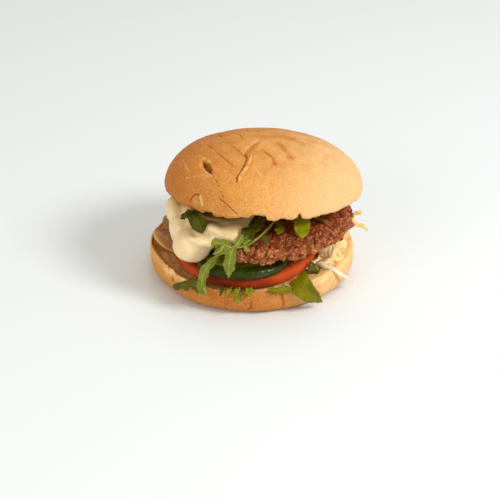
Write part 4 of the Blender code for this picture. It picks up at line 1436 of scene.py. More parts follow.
@dataclass
class Patty(Layer):
    """Vegetable patty: fine crust on top, and coarse clumps with deep seams at the side.

    Each crag has its bearing and its width in degrees, and how far it hangs out.
    """

    node: str = "patty"
    slot: str = "patty_brown"
    voxel: float = 0.56
    rounds: int = 4
    centre: Span = (8.3, -5.0)
    foot: float = 29.4
    crags: tuple[tuple[float, float, float], ...] = (
        (264.0, 24.0, 5.2),
        (292.0, 9.0, 1.8),
        (338.0, 26.0, 2.4),
    )

    def overhang(self, clay: Clay) -> None:
        """Push the lower edge out where crags hang over the slices.

        Args:
            clay: The patty's mesh.
        """
        points = clay.points
        out = reach(points, self.centre)
        bearing = bearings(points, self.centre)
        amount = np.zeros(len(points))
        for centre, width, distance in self.crags:
            amount += distance * turn(bearing, centre, width)
        amount *= smooth(32.0, 43.0, out) * (1.0 - smooth(self.foot + 4.0, self.foot + 12.0, points[:, 2]))
        points[:, 0] += amount * (points[:, 0] - self.centre[0]) / np.maximum(out, 1.0)
        points[:, 1] += amount * (points[:, 1] - self.centre[1]) / np.maximum(out, 1.0)
        clay.place(points)

    def build(self) -> bpy.types.Object:
        """Shape and dress the patty.

        Returns:
            The piece.
        """
        clay = self.clay()
        self.overhang(clay)
        spots = clay.points
        out = reach(spots, self.centre)
        side = smooth(40.0, 46.0, out) * (1.0 - 0.7 * smooth(39.0, 44.0, spots[:, 2]))
        warped = spots + np.stack([1.6 * lumps(spots, 5.0, seed) for seed in (2.0, 4.0, 6.0)], axis=1)
        coarse = cells(warped, 8.5, 8.0)
        clump = smooth(0.0, 0.22, coarse) - 0.8
        grain = 0.55 * crumbs(warped, 2.3, 14.0) + 0.5 * crumbs(spots, 1.15, 20.0)
        grain += 0.5 * lumps(spots, 1.7, 26.0)
        patchy = smooth(-0.25, 0.3, lumps(spots, 5.0, 18.0))
        relief = (0.2 + 1.7 * side) * clump + (0.8 + 0.6 * side) * grain
        hollow = side * smooth(0.18, 0.55, lumps(warped, 3.8, 30.0))
        relief += 1.2 * side * lumps(spots, 7.0, 16.0) + 0.35 * lumps(spots, 3.2, 22.0) - 1.5 * hollow
        clay.push(relief)
        # Crevices between the clumps, hollows between the grains and the deep pits are marked for darkening:
        # painted shade.
        deep = (1.0 - smooth(0.0, 0.13, coarse)) * smooth(-0.3, 0.3, lumps(spots, 9.0, 24.0))
        sunk = smooth(-0.1, -0.5, grain)
        clay.mark("seam", np.maximum.reduce([0.85 * side * deep, 0.55 * sunk, 0.7 * hollow]))
        low = 0.5 + 1.4 * smooth(41.0, 33.0, spots[:, 2])
        # The lighter side tone is made stronger on the tops of the grains than between them, which is
        # painted highlight and shade.
        clay.mark("side", side * low * (0.4 + 0.6 * patchy) * (0.5 + 0.5 * smooth(-0.3, 0.3, grain)))
        return self.finish(clay, PattyFinish().build())


@dataclass
class Tomato(Layer):
    """Tomato slice: smooth skin round wet flesh."""

    node: str = "tomato_slice"
    slot: str = "tomato_red"

    def build(self) -> bpy.types.Object:
        """Shape and dress the tomato slice.

        Returns:
            The piece.
        """
        clay = self.clay()
        spots = clay.points
        front = smooth(-25.0, -50.0, spots[:, 1])
        spots[:, 1] -= 0.6 * front
        spots[:, 2] -= 1.0 * front
        clay.place(spots)
        upright = np.abs(clay.normals[:, 2])
        clay.push(0.15 * lumps(spots, 9.0, 3.0))
        clay.mark("rind", 1.0 - smooth(0.75, 0.95, upright))
        clay.mark("deep", smooth(0.1, 0.5, lumps(spots, 7.0, 7.0)))
        # The left of the slice, away from the lamp, is darkened with the shade colour: painted shade.
        left = smooth(28.0, -8.0, spots[:, 0]) * (1.0 - 0.6 * smooth(-18.0, -38.0, spots[:, 0]))
        clay.mark("shade", 0.95 * left * (0.9 + 0.4 * lumps(spots, 9.0, 5.0)))
        colours = (tone(206, 92, 44), tone(178, 66, 24), tone(204, 86, 38), tone(188, 72, 28))
        shade = tone(98, 24, 4)
        wet = WetFinish("tomato", *colours, shade, roughness=0.5, specular=0.12, coat=0.0, soft=0.05)
        return self.finish(clay, wet.build())


@dataclass
class Cucumber(Layer):
    """Cucumber slice: dark skin with paler streaks round pale wet flesh.

    The slice is an oval with the half widths half, and its skin begins at the
    share skin of the way out.
    """

    node: str = "cucumber_slice"
    slot: str = "cucumber_green"
    voxel: float = 0.7
    rounds: int = 4
    centre: Span = (-5.0, -35.0)
    half: Span = (27.0, 21.6)
    skin: float = 0.86

    def build(self) -> bpy.types.Object:
        """Shape and dress the cucumber slice.

        Returns:
            The piece.
        """
        clay = self.clay()
        spots = clay.points
        bearing = bearings(spots, self.centre)
        share = np.hypot(*((spots[:, :2] - np.array(self.centre)) / np.array(self.half)).T)
        front = smooth(0.5, 0.95, share) * smooth(-38.0, -50.0, spots[:, 1])
        spots[:, 1] -= 1.6 * front
        spots[:, 2] -= 1.5 * front
        clay.place(spots)
        clay.push(0.2 * lumps(spots, 5.0, 3.0))
        streak = smooth(0.0, 0.5, lumps(np.stack([bearing, bearing, spots[:, 2]], axis=1), 5.0, 5.0))
        inward = 0.08 * smooth(-26.0, -8.0, spots[:, 0])
        clay.mark("rind", smooth(self.skin - 0.03, self.skin, share + inward) * (1.0 - 0.12 * streak))
        glints = smooth(-0.1, 0.2, lumps(spots, 1.3, 9.0))
        clay.mark("gloss", turn(bearing, 304.0, 18.0) * glints * smooth(0.75, 0.85, share))
        clay.mark("deep", smooth(0.1, 0.5, lumps(spots, 5.0, 7.0)))
        colours = (tone(146, 136, 56), tone(104, 100, 26), tone(50, 66, 2), tone(28, 40, 1))
        wet = WetFinish("cucumber", *colours, roughness=0.28, specular=0.12, coat=0.1, depth=0.7, soft=0.0)
        return self.finish(clay, wet.build())


@dataclass
class Pickle(Layer):
    """Pickle slice: olive, wet and wrinkled, darker at its edge."""

    voxel: float = 0.55
    rounds: int = 3
    flesh: Colour = tone(176, 134, 24)
    deep: Colour = tone(146, 106, 16)
    rind: Colour = tone(158, 116, 22)
    rind_deep: Colour = tone(120, 84, 16)

    def build(self) -> bpy.types.Object:
        """Shape and dress the pickle slice.

        Returns:
            The piece.
        """
        clay = self.clay()
        spots = clay.points
        low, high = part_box(self.node)
        middle = 0.5 * (low + high) / MM
        out = reach(spots, (middle.x, middle.y))
        clay.push(0.16 * lumps(spots, 2.5, 3.0))
        clay.mark("rind", smooth(13.2, 15.0, out))
        clay.mark("deep", smooth(0.0, 0.5, lumps(spots, 4.0, 5.0)))
        colours = (self.flesh, self.deep, self.rind, self.rind_deep)
        wet = WetFinish(self.node + "_flesh", *colours, specular=0.25, coat=0.1)
        return self.finish(clay, wet.build())


@dataclass
class Onion(Layer):
    """Fried onion slice: rings that show as ridges, browned between them.

    The seams between its rings lie the distance ring apart.
    """

    node: str = "onion_slice"
    slot: str = "onion_tan"
    voxel: float = 0.5
    rounds: int = 3
    centre: Span = (-42.7, -0.5)
    ring: float = 2.7

    def build(self) -> bpy.types.Object:
        """Shape and dress the onion slice.

        Returns:
            The piece.
        """
        clay = self.clay()
        spots = clay.points
        out = reach(spots, self.centre) + 0.5 * lumps(spots, 6.0, 3.0)
        seam = hump((out % self.ring) - 0.5 * self.ring, 0.0, 0.45)
        upright = np.abs(clay.normals[:, 2])
        clay.push(-0.18 * seam * upright + 0.3 * lumps(spots, 3.6, 5.0))
        clay.mark("rind", smooth(12.2, 13.2, out))
        clay.mark("deep", np.maximum(0.3 * seam, smooth(0.1, 0.5, lumps(spots, 5.0, 7.0))))
        fried = smooth(0.0, 4.0, spots[:, 1] + 2.0 * lumps(spots, 4.0, 9.0))
        clay.mark("shade", 0.9 * fried)
        colours = (tone(238, 190, 118), tone(212, 152, 78), tone(236, 194, 128), tone(220, 170, 100))
        wet = WetFinish("onion", *colours, tone(172, 92, 38), soft=0.05, specular=0.2, coat=0.1)
        return self.finish(clay, wet.build())


@dataclass
class Sauce(Layer):
    """Mayonnaise: thick folds, a heavy drop at the left front and a few pits.

    Each fold has its place, its width and its height.
    """

    node: str = "sauce"
    slot: str = "mayonnaise"
    voxel: float = 0.7
    rounds: int = 11
    lumps_on: tuple[Lump, ...] = (
        Lump((-32.2, -42.6, 35.8), (11.0, 7.6, 10.2)),
        Lump((-27.5, -48.0, 41.2), (7.6, 3.4, 2.6), 22.0),
        Lump((-19.0, -45.5, 47.4), (8.0, 4.6, 2.8), 24.0),
        Lump((-39.0, -33.0, 41.5), (6.5, 6.5, 7.0)),
        Lump((-42.0, -24.5, 46.5), (5.0, 6.5, 6.0)),
        Lump((-43.0, -21.0, 50.0), (4.6, 5.0, 4.0)),
        Lump((-10.0, -45.0, 46.5), (7.0, 3.5, 3.2), -8.0),
        Lump((-32.6, -42.4, 43.4), (4.6, 3.6, 3.0)),
    )
    pits: tuple[Point, ...] = ((-37.5, -33.0, 44.0), (-44.0, -24.0, 44.0))
    herbs: tuple[Point, ...] = ((-41.0, -21.5, 51.0), (-44.4, -20.5, 51.5))
    folds: tuple[tuple[Point, float, float], ...] = (
        ((-23.0, -44.5, 45.6), 2.6, -0.3),
        ((-33.0, -44.0, 43.5), 2.6, -0.2),
        ((-43.5, -28.0, 40.0), 2.6, -0.8),
        ((-14.5, -44.0, 49.5), 2.4, -0.5),
    )

    def build(self) -> bpy.types.Object:
        """Shape and dress the mayonnaise.

        Returns:
            The piece.
        """
        clay = self.clay()
        spots = clay.points
        relief = 0.35 * lumps(spots, 10.0, 3.0) + 0.12 * lumps(spots, 4.5, 5.0)
        for centre, size, height in self.folds:
            relief += height * spot(spots, centre, size)
        for centre in self.pits:
            relief -= 1.2 * spot(spots, centre, 0.9)
        clay.push(relief)
        clay.mark("thin", smooth(0.1, 0.6, lumps(spots, 12.0, 9.0)))
        herb = np.zeros(len(spots))
        for centre in self.herbs:
            away = np.linalg.norm(spots - np.array(centre), axis=1) + 0.8 * lumps(spots, 1.2, 11.0)
            herb = np.maximum(herb, 1.0 - smooth(0.8, 1.6, away))
        clay.mark("herb", herb)
        return self.finish(clay, CreamFinish().build())


@dataclass
class CabbageHeap(Layer):
    """Cabbage salad: a lumpy core and the strips that lie on it.

    Strips are fine, broad ones lie to the right of broad_from, and sheets lie
    to the right of sheets_from. Half widths, lengths, lifts and curls are
    drawn at random between two numbers.
    """

    node: str = "cabbage_salad"
    slot: str = "cabbage_white"
    voxel: float = 1.0
    rounds: int = 4
    lumps_on: tuple[Lump, ...] = (
        Lump((45.5, -22.5, 18.0), (5.5, 5.5, 3.0)),
        Lump((49.5, -12.0, 20.0), (3.6, 6.0, 4.0)),
        Lump((40.0, -29.5, 16.8), (5.0, 4.0, 2.0)),
        Lump((51.0, 0.0, 19.0), (2.6, 8.0, 3.6)),
    )
    strips: int = 220
    sheets: int = 54
    thickness: float = 0.7
    seed: int = 11
    steps: int = 6
    lengths: Span = (9.0, 30.0)
    lifts: Span = (-0.1, 0.7)
    curls: Span = (-0.35, 0.35)
    fine_halves: Span = (0.45, 1.0)
    broad_halves: Span = (0.8, 1.9)
    sheet_halves: Span = (1.8, 3.6)
    broad_from: float = 36.0
    sheets_from: float = 34.0

    def build(self) -> bpy.types.Object:
        """Shape and dress the heap.

        Returns:
            The piece.
        """
        core = fine_copy(self.node, self.voxel, self.rounds, self.lumps_on)
        core.faces.ensure_lookup_table()
        tree = BVHTree.FromBMesh(core)
        draw = random.Random(self.seed)
        starts = [face for face in core.faces if self.shows(face)]
        creamy = [face for face in starts if face.calc_center_median().x > self.sheets_from]
        bodies = []
        for index in range(self.strips + self.sheets):
            face = draw.choice(starts if index < self.strips else creamy)
            middle = face.calc_center_median()
            halves = self.broad_halves if middle.x > self.broad_from else self.fine_halves
            if index >= self.strips:
                halves = self.sheet_halves
            body = self.strip(tree, middle, face.normal.copy(), draw.uniform(*halves), draw)
            if self.stays(body):
                bodies.append(body)
            else:
                body.free()
        clay = Clay(core, "core")
        clay.push(0.6 * lumps(clay.points, 3.0, 3.0) - 0.3)
        clay.mark("core", np.full(len(clay.points), 0.55))
        shaped = bmesh.new()
        shaped.from_mesh(clay.mesh)
        return self.finish(Clay(gather([shaped, *bodies]), self.node), CabbageFinish().build())

    @staticmethod
    def shows(face: bmesh.types.BMFace) -> bool:
        """Tell whether a face of the core lies where the heap can be seen.

        Args:
            face: The face.

        Returns:
            True at the sides, and on top where the heap rises.
        """
        place = face.calc_center_median()
        outside = math.hypot(place.x, place.y) > 44.0 and face.normal.z > -0.4
        return outside or (place.z > 25.5 and face.normal.z > 0.3)

    def stays(self, body: bmesh.types.BMesh) -> bool:
        """Tell whether a strip keeps to the heap's own place.

        Args:
            body: The strip.

        Returns:
            True where no point of it strays from the solid's box.
        """
        low, high = (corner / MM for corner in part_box(self.node))
        return all(
            low.x - 2.0 < vert.co.x < high.x + 2.0
            and low.y - 2.0 < vert.co.y < high.y + 2.0
            and low.z - 0.5 < vert.co.z < high.z + 2.0
            for vert in body.verts
        )

    def strip(
        self, tree: BVHTree, start: Vector, normal: Vector, half: float, draw: random.Random
    ) -> bmesh.types.BMesh:
        """Lay one strip over the core.

        Args:
            tree: The core's faces.
            start: Where the strip begins.
            normal: Outward direction there.
            half: Half the strip's width.
            draw: Source of random numbers.

        Returns:
            The strip.
        """
        heading = Vector((draw.gauss(0.0, 1.0), draw.gauss(0.0, 1.0), draw.gauss(0.0, 0.45)))
        length = draw.uniform(*self.lengths)
        lift = draw.uniform(*self.lifts)
        route = []
        across = []
        place = start
        curl = draw.uniform(*self.curls)
        for _ in range(self.steps):
            heading = (heading - heading.dot(normal) * normal).normalized()
            route.append(tuple(place + normal * (lift + draw.uniform(-0.2, 0.2))))
            across.append(tuple(heading.cross(normal)))
            heading = heading + curl * heading.cross(normal)
            place, normal, _, _ = tree.find_nearest(place + heading.normalized() * length / self.steps)
        laid = Blade(
            tuple(route), (0.4 * half, half, half, 0.5 * half), tuple(across), tooth=0.0, wave=0.2,
            thickness=self.thickness, rows=9, columns=2, seed=draw.random(),
        )
        return laid.build()


@dataclass
class Leaf:
    """A leaf of one or more lobes that stands for a solid.

    The share veins tells how strongly its rib and its side veins show.
    """

    name: str
    green: Green
    blades: tuple[Blade, ...]
    nodes: tuple[str, ...]
    slot: str
    veins: float = 0.45
    rib_width: float = 0.26
    branches: float = 9.0
    branch_slant: float = 0.35
    branch_width: float = 0.07

    def build(self, material: bpy.types.Material) -> bpy.types.Object:
        """Shape and dress the leaf.

        Args:
            material: The leaf's material.

        Returns:
            The piece.
        """
        clay = Clay(gather([blade.build() for blade in self.blades]), self.name)
        side = np.empty(len(clay.mesh.vertices))
        run = np.empty(len(clay.mesh.vertices))
        clay.mesh.attributes["side"].data.foreach_get("value", side)
        clay.mesh.attributes["run"].data.foreach_get("value", run)
        rib = hump(side, 0.0, self.rib_width) * (1.0 - 0.7 * run)
        phase = (run * self.branches - np.abs(side) * self.branch_slant) % 1.0
        branch = hump(phase, 0.5, self.branch_width)
        branch *= smooth(0.2, 0.8, np.abs(side)) * 0.45
        vein = self.veins * np.maximum(0.8 * rib, 0.5 * branch)
        clay.push(0.15 * vein)
        clay.mark("vein", vein)
        return clay.finish(self.name, material, self.slot, *self.nodes)


@dataclass
class Greens:
    """Rocket over the patty and salad leaves on the rim of the lower bun."""

    slot_dark: str = "leaf_dark"
    slot_light: str = "leaf_light"

    def rocket(self) -> list[Leaf]:
        """List the rocket leaves.

        Returns:
            The leaves.
        """
        sprig = (
            Blade(
                ((-8.8, -57.3, 42.2), (-14.9, -57.2, 40.0), (-22.2, -55.8, 32.4), (-26.0, -55.4, 25.0),
                 (-27.0, -56.4, 18.6), (-27.1, -57.2, 12.4)),
                (0.8, 1.6, 2.4, 3.4, 2.6, 3.6, 3.0, 2.6, 3.2, 2.0, 0.2), ((0.8, 0.1, 0.55),),
                right=(0.8, 1.4, 2.0, 2.6, 3.6, 2.6, 3.3, 2.2, 2.2, 3.2, 0.3), tooth=0.2, teeth=12.0,
            ),
            Blade(
                ((-26.0, -57.0, 17.6), (-24.6, -57.6, 14.8), (-23.6, -57.8, 12.6)),
                (1.2, 1.0, 0.2), ((1.0, 0.0, 0.2),), wave=0.1, rows=16, columns=6,
            ),
            Blade(
                ((-9.4, -57.0, 43.4), (-11.3, -58.4, 37.6), (-12.1, -58.9, 31.5), (-12.3, -58.9, 25.0)),
                (0.9, 2.4, 3.3, 3.0, 3.9, 2.9, 1.6, 0.2), ((1.0, 0.0, 0.05),),
                right=(0.9, 2.6, 2.9, 3.6, 3.2, 3.4, 1.8, 0.2), tooth=0.14, teeth=9.0, wave=0.4, seed=0.4,
            ),
            Blade(
                ((-8.4, -57.5, 41.4), (-13.5, -57.1, 43.6), (-18.0, -56.3, 44.6), (-21.6, -56.0, 43.6)),
                (0.9, 1.8, 2.9, 2.3, 3.2, 0.4), ((0.1, 0.2, 0.9),), tooth=0.2, teeth=6.0, seed=0.7,
            ),
            Blade(
                ((-15.0, -57.4, 43.4), (-17.6, -58.2, 40.2), (-20.6, -57.6, 38.6)),
                (1.0, 2.2, 1.8, 0.3), ((0.3, 0.1, 0.9),), rows=24, columns=8, seed=0.2,
            ),
            Blade(
                ((-8.9, -57.0, 41.5), (-7.4, -57.0, 45.0), (-5.6, -56.2, 47.4), (-4.6, -55.6, 49.2)),
                (0.8, 1.9, 2.4, 1.7, 0.3), ((0.9, 0.0, -0.3),), wave=0.4, rows=30, seed=0.5,
            ),
            Blade(
                ((-3.4, -56.4, 43.0), (-2.8, -57.2, 41.6), (-0.8, -57.6, 40.4)),
                (0.8, 1.7, 0.3), ((0.9, 0.2, 0.4),), wave=0.3, rows=20, columns=8, seed=0.1,
            ),
            Blade(
                ((-4.4, -56.2, 43.6), (-2.6, -56.0, 45.2), (-0.4, -56.0, 46.4)),
                (0.6, 1.8, 0.4), ((0.7, 0.1, -0.6),), wave=0.3, rows=20, columns=8, seed=0.8,
            ),
            Blade(
                ((-11.0, -57.5, 41.9), (-2.7, -56.3, 43.4), (2.0, -56.2, 46.6), (7.4, -51.0, 49.0),
                 (12.5, -40.0, 49.7)),
                (0.5, 0.55, 0.6, 0.65, 0.65), ((0.2, -0.4, 0.8),), tooth=0.0, wave=0.0, thickness=0.9,
                columns=4,
            ),
        )
        left = (
            Blade(
                ((-30.5, -38.0, 55.0), (-29.4, -43.0, 54.0), (-28.4, -47.0, 52.6), (-27.2, -50.0, 50.2),
                 (-26.2, -51.6, 47.9)),
                (3.4, 4.6, 5.0, 5.0, 4.4, 2.6, 0.5), ((0.95, 0.15, 0.2),), lift=0.22, tooth=0.03, wave=0.5,
            ),
            Blade(
                ((-31.5, -41.0, 54.6), (-35.0, -42.6, 54.2), (-38.2, -44.0, 52.6)),
                (2.4, 4.0, 4.2, 2.8, 0.7), ((0.15, -0.5, 0.85),), tooth=0.06, rows=30, seed=0.6,
            ),
        )
        crown = (
            Blade(
                ((-4.0, -56.2, 47.0), (-1.0, -52.0, 49.6), (3.0, -45.0, 51.2), (6.0, -37.0, 51.6)),
                (0.8, 3.4, 5.4, 3.6, 5.8, 4.6, 2.0), ((0.8, 0.5, 0.25),),
                right=(0.8, 4.6, 3.4, 5.6, 4.2, 5.4, 2.0), tooth=0.14, seed=0.3,
            ),
            Blade(
                ((6.0, -53.4, 47.6), (7.4, -53.8, 45.4), (7.6, -54.2, 43.2)),
                (0.8, 2.2, 2.0, 0.3), ((1.0, 0.1, 0.2),), rows=24, columns=10, seed=0.9,
            ),
        )
        nub = (
            Blade(
                ((15.0, -38.0, 47.2), (15.2, -45.0, 47.1), (14.0, -50.0, 46.6)),
                (1.6, 2.2, 2.7, 0.4), ((1.0, 0.1, 0.0),), rows=30, columns=10,
            ),
        )
        front = (
            Blade(
                ((27.5, -34.0, 49.5), (27.2, -42.0, 49.2), (27.0, -48.0, 48.4), (27.0, -52.8, 45.8)),
                (3.4, 4.0, 4.2, 4.4, 4.2, 2.9, 0.6), ((1.0, -0.1, 0.1),), lift=0.24, tooth=0.05, teeth=5.0,
                right=(3.4, 4.0, 4.2, 4.6, 4.3, 3.4, 0.6), wave=0.7,
            ),
        )
        right = (
            Blade(
                ((33.0, -28.0, 46.6), (37.0, -32.4, 46.7), (42.5, -36.0, 46.4)),
                (1.0, 1.9, 1.4, 2.0, 0.4), ((0.6, -0.7, 0.1),), rows=30, columns=10,
            ),
        )
        light = self.slot_light
        return [
            Leaf("leaf_rocket_sprig", Green.SAGE, sprig, ("rocket_sprig",), light, 1.0),
            Leaf("leaf_rocket_left", Green.DARK, left, ("rocket_left",), self.slot_dark),
            Leaf("leaf_rocket_crown", Green.DARK, crown, ("rocket_crown",), self.slot_dark),
            Leaf("leaf_rocket_nub", Green.MIDDLE, nub, ("rocket_nub",), light),
            Leaf("leaf_rocket_front", Green.BRIGHT, front, ("rocket_front",), light),
            Leaf("leaf_rocket_right", Green.MIDDLE, right, ("rocket_right",), light),
        ]

    def salad(self) -> list[Leaf]:
        """List the salad leaves that hang over the rim.

        Returns:
            The leaves.
        """
        left = (
            Blade(
                ((-26.6, -50.6, 14.4), (-31.5, -50.4, 15.2), (-35.6, -47.8, 14.0), (-39.6, -44.6, 11.4),
                 (-43.4, -41.2, 8.9)),
                (3.4, 4.4, 3.0, 1.0, 3.8, 3.2, 1.8, 2.8, 2.4, 0.5),
                ((0.2, 0.45, 0.85), (0.35, 0.4, 0.85), (0.45, 0.5, 0.75)),
                right=(2.2, 2.6, 3.6, 4.2, 2.8, 2.2, 2.6, 2.2, 0.5), lift=0.1, tooth=0.2, teeth=11.0,
                wave=0.7, seed=0.2,
            ),
        )
        front = (
            Blade(
                ((8.9, -57.6, 17.0), (12.6, -58.2, 16.6), (16.4, -57.6, 16.4), (20.0, -56.0, 16.0),
                 (22.2, -55.2, 13.8)),
                (0.7, 2.8, 1.5, 2.6, 1.2, 2.8, 1.8, 0.4), ((0.05, 0.35, 0.93), (0.1, 0.5, 0.86)),
                right=(0.6, 1.8, 1.2, 2.0, 4.0, 1.6, 1.6, 0.4), lift=-0.1, tooth=0.25, teeth=9.0, wave=0.6,
            ),
        )
        right = (
            Blade(
                ((24.3, -47.5, 18.0), (27.2, -52.0, 16.8), (31.0, -54.0, 13.0), (35.2, -52.3, 8.8),
                 (38.6, -49.5, 4.6)),
                (5.2, 6.4, 6.4, 5.6, 4.4, 2.4, 0.3), ((0.66, 0.45, 0.6),),
                right=(5.6, 6.0, 5.2, 4.2, 3.2, 1.8, 0.3), lift=0.14, tooth=0.0, wave=0.7, waves=1.4,
                seed=0.5,
            ),
        )
        inner = (
            Blade(
                ((30.6, -39.6, 16.3), (33.6, -39.8, 18.6), (35.4, -37.6, 21.2)),
                (2.6, 3.8, 3.6), ((1.0, 0.3, 0.0),), tooth=0.05, rows=30, columns=10,
            ),
        )
        leaves = [
            Leaf("leaf_salad_left", Green.OLIVE, left, ("salad_left",), self.slot_dark),
            Leaf("leaf_salad_front", Green.MIDDLE, front, ("salad_front",), self.slot_light),
            Leaf("leaf_salad_right", Green.MIDDLE, right, ("salad_right",), self.slot_light),
            Leaf("leaf_salad_inner", Green.OLIVE, inner, ("salad_right_inner",), self.slot_dark),
        ]
        curls = (
            (
                Blade(
                    ((-13.3, -51.0, 15.4), (-14.6, -55.0, 16.8), (-15.9, -58.0, 17.0), (-17.2, -59.0, 13.8)),
                    (0.5, 0.9, 1.1, 0.3), ((0.9, -0.2, 0.4),), rows=24, columns=8,
                ),
            ),
            (
                Blade(
                    ((-10.6, -52.0, 15.4), (-11.6, -56.0, 16.9), (-12.3, -58.8, 16.2), (-14.6, -59.0, 12.9)),
                    (0.5, 1.0, 1.2, 0.8, 0.3), ((0.9, 0.2, 0.3),), tooth=0.3, rows=30, columns=8, seed=0.3,
                ),
            ),
            (
                Blade(
                    ((-6.2, -52.0, 15.5), (-7.4, -56.0, 16.9), (-8.0, -58.6, 16.4), (-7.8, -59.6, 13.6),
                     (-7.1, -60.0, 9.6)),
                    (0.6, 1.2, 1.8, 1.1, 2.0, 0.4), ((1.0, 0.0, 0.15),), tooth=0.4, rows=40, seed=0.6,
                    wave=0.7,
                ),
                Blade(
                    ((-7.7, -59.2, 15.2), (-5.6, -59.9, 13.9), (-3.6, -60.0, 15.4)),
                    (0.5, 1.3, 0.4), ((0.2, -0.3, 0.9),), tooth=0.4, rows=20, columns=8, seed=0.2,
                ),
                Blade(
                    ((-7.8, -59.5, 13.4), (-9.0, -59.9, 12.4), (-9.8, -59.9, 11.0)),
                    (0.5, 1.0, 0.3), ((0.6, -0.2, 0.7),), rows=18, columns=8, seed=0.9,
                ),
            ),
            (
                Blade(
                    ((-1.2, -52.0, 15.5), (-1.0, -56.0, 16.9), (-1.8, -58.8, 17.0), (-1.0, -59.9, 13.8)),
                    (0.5, 1.1, 1.8, 1.5, 0.4), ((1.0, 0.0, 0.2),), tooth=0.4, rows=30, seed=0.1, wave=0.7,
                ),
                Blade(
                    ((-1.5, -59.2, 16.4), (-3.0, -59.7, 15.6), (-4.4, -59.8, 13.6)),
                    (0.5, 1.2, 0.3), ((0.5, -0.2, 0.8),), tooth=0.4, rows=20, columns=8, seed=0.5,
                ),
                Blade(
                    ((-1.3, -59.0, 16.8), (0.2, -59.4, 17.4), (1.4, -59.6, 16.2)),
                    (0.4, 1.0, 0.3), ((0.3, -0.2, 0.9),), tooth=0.4, rows=20, columns=8, seed=0.7,
                ),
            ),
        )
        for index, frills in enumerate(curls):
            name = f"salad_curl_{index + 1}"
            green = Green.DARK if index == 0 else Green.BRIGHT
            leaves.append(Leaf("leaf_" + name, green, frills, (name,), self.slot_light))
        return leaves

    def build(self) -> list[bpy.types.Object]:
        """Shape and dress every leaf.

        Returns:
            The pieces.
        """
        materials = {green: LeafFinish(green).build() for green in Green}
        return [leaf.build(materials[leaf.green]) for leaf in self.rocket() + self.salad()]


@dataclass
class LooseShreds:
    """Strips of cabbage that hang out at the right."""

    slot: str = "cabbage_white"
    thickness: float = 0.8

    def build(self) -> list[bpy.types.Object]:
        """Shape and dress the strips.

        Returns:
            The pieces.
        """
        paths = {
            "cabbage_shred_front": (
                ((36.2, -32.6, 19.0), (40.4, -34.8, 18.7), (44.4, -35.8, 17.5), (49.0, -35.6, 14.0),
                 (53.1, -32.8, 9.6), (56.3, -28.2, 4.9)),
                (0.6, 0.9, 1.2, 1.2, 0.9, 0.35), ((0.3, 0.2, 1.0),),
            ),
            "cabbage_shred_side": (
                ((55.4, -4.2, 28.8), (57.8, -4.6, 29.8), (60.2, -5.0, 28.2), (62.8, -5.0, 27.8),
                 (65.7, -5.0, 24.8)),
                (0.9, 1.5, 1.1, 1.2, 0.4), ((0.0, 0.5, 0.9),),
            ),
            "cabbage_shred_high": (
                ((56.6, -7.0, 29.2), (56.0, -6.0, 32.6), (57.0, -5.0, 35.2), (59.8, -4.5, 35.9),
                 (62.0, -4.0, 36.0)),
                (0.8, 1.6, 2.3, 2.5, 1.4), ((0.9, -0.3, 0.0), (0.6, -0.5, 0.5), (0.0, -0.3, 0.95)),
            ),
        }
        dressed = CabbageFinish("dressed_shred", pale=tone(250, 218, 152), straw=tone(240, 196, 116)).build()
        white = CabbageFinish("white_shred", pale=tone(244, 234, 214), straw=tone(236, 220, 190)).build()
        made = []
        for node, (route, half_widths, across) in paths.items():
            strip = Blade(
                route, half_widths, across, wave=0.25, thickness=self.thickness, rows=40, columns=4
            )
            clay = Clay(strip.build(), node)
            material = white if node == "cabbage_shred_front" else dressed
            made.append(clay.finish("dressed_" + node, material, self.slot, node))
        return made


# Studio


@dataclass(frozen=True)
class Lamp:
    """A soft round lamp that faces the burger.

    Its place is in millimetres, its size in metres and its power in watts.
    """

    name: str
    place: Point
    size: float
    power: float
    tint: Point
    aim: Point = (0.0, 0.0, 40.0)

    def hang(self) -> None:
        """Hang the lamp in the scene."""
        light = bpy.data.lights.new(self.name, "AREA")
        light.shape = "DISK"
        light.size = self.size
        light.energy = self.power
        light.color = self.tint
        lamp = bpy.data.objects.new(self.name, light)
        bpy.context.scene.collection.objects.link(lamp)
        lamp.location = Vector(self.place) * MM
        lamp.rotation_euler = (Vector(self.aim) * MM - lamp.location).to_track_quat("-Z", "Y").to_euler()


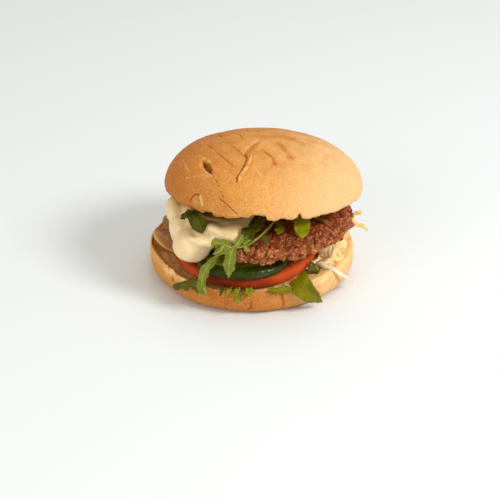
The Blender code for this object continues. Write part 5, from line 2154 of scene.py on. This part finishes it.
@dataclass(frozen=True)
class Studio:
    """Pale floor, soft light and the camera."""

    target: Point = (-0.87, 0.0, 9.25)
    distance: float = 893.0
    elevation: float = 29.0
    lens: float = 111.8
    sensor: float = 36.0
    nearest: float = 10.0
    floor_tone: Colour = tone(232, 243, 255)
    floor_size: float = 3.0
    floor_drop: float = 0.2
    surround: Colour = (1.0, 0.9, 0.75, 1.0)
    surround_strength: float = 0.56
    lamps: tuple[Lamp, ...] = (
        Lamp("key", (900.0, -520.0, 900.0), 0.45, 11.5, (1.0, 0.94, 0.86)),
        Lamp("fill", (-700.0, -900.0, 450.0), 0.9, 3.8, (1.0, 0.9, 0.76)),
        Lamp("top", (200.0, 300.0, 1200.0), 0.9, 2.5, (1.0, 0.98, 0.95)),
    )

    def floor(self) -> None:
        """Lay the floor."""
        bm = bmesh.new()
        bmesh.ops.create_grid(bm, x_segments=1, y_segments=1, size=self.floor_size)
        bmesh.ops.translate(bm, vec=(0.0, 0.0, -self.floor_drop * MM), verts=bm.verts[:])
        mesh = bpy.data.meshes.new("floor")
        bm.to_mesh(mesh)
        bm.free()
        mix = Recipe("floor", 0.9, 0.1)
        mix.colour(self.floor_tone)
        mesh.materials.append(mix.material)
        plane = bpy.data.objects.new("floor", mesh)
        bpy.context.scene.collection.objects.link(plane)

    def light(self) -> None:
        """Light the burger from the front right, with a pale surround."""
        world = bpy.data.worlds.new("surround")
        world.use_nodes = True
        background = world.node_tree.nodes["Background"]
        background.inputs["Color"].default_value = self.surround
        background.inputs["Strength"].default_value = self.surround_strength
        bpy.context.scene.world = world
        for lamp in self.lamps:
            lamp.hang()

    def camera(self) -> None:
        """Set up the camera and how its view is developed."""
        data = bpy.data.cameras.new("camera")
        data.lens = self.lens
        data.sensor_width = self.sensor
        data.clip_start = self.nearest * MM
        eye = bpy.data.objects.new("camera", data)
        bpy.context.scene.collection.objects.link(eye)
        angle = math.radians(self.elevation)
        target = Vector(self.target) * MM
        eye.location = target + self.distance * MM * Vector((0.0, -math.cos(angle), math.sin(angle)))
        eye.rotation_euler = (target - eye.location).to_track_quat("-Z", "Y").to_euler()
        bpy.context.scene.camera = eye
        bpy.context.scene.view_settings.view_transform = "Standard"

    def build(self) -> None:
        """Set up the whole studio."""
        self.floor()
        self.light()
        self.camera()


def main() -> None:
    logging.basicConfig(level=logging.INFO)
    layers = [
        Heel(),
        CabbageHeap(),
        Onion(),
        Tomato(),
        Cucumber(),
        Pickle("pickle_slice_side", "pickle_olive"),
        Patty(),
        Sauce(),
        Pickle(
            "pickle_slice_top", "pickle_olive", flesh=tone(156, 122, 60), deep=tone(126, 94, 38),
            rind=tone(126, 98, 42), rind_deep=tone(92, 68, 26),
        ),
        Crown(),
    ]
    for layer in layers:
        piece = layer.build()
        LOG.info("%s: %d faces", piece.name, len(piece.data.polygons))
    for group in (Greens(), LooseShreds()):
        for piece in group.build():
            LOG.info("%s: %d faces", piece.name, len(piece.data.polygons))
    Studio().build()


if __name__ == "__main__":
    main()
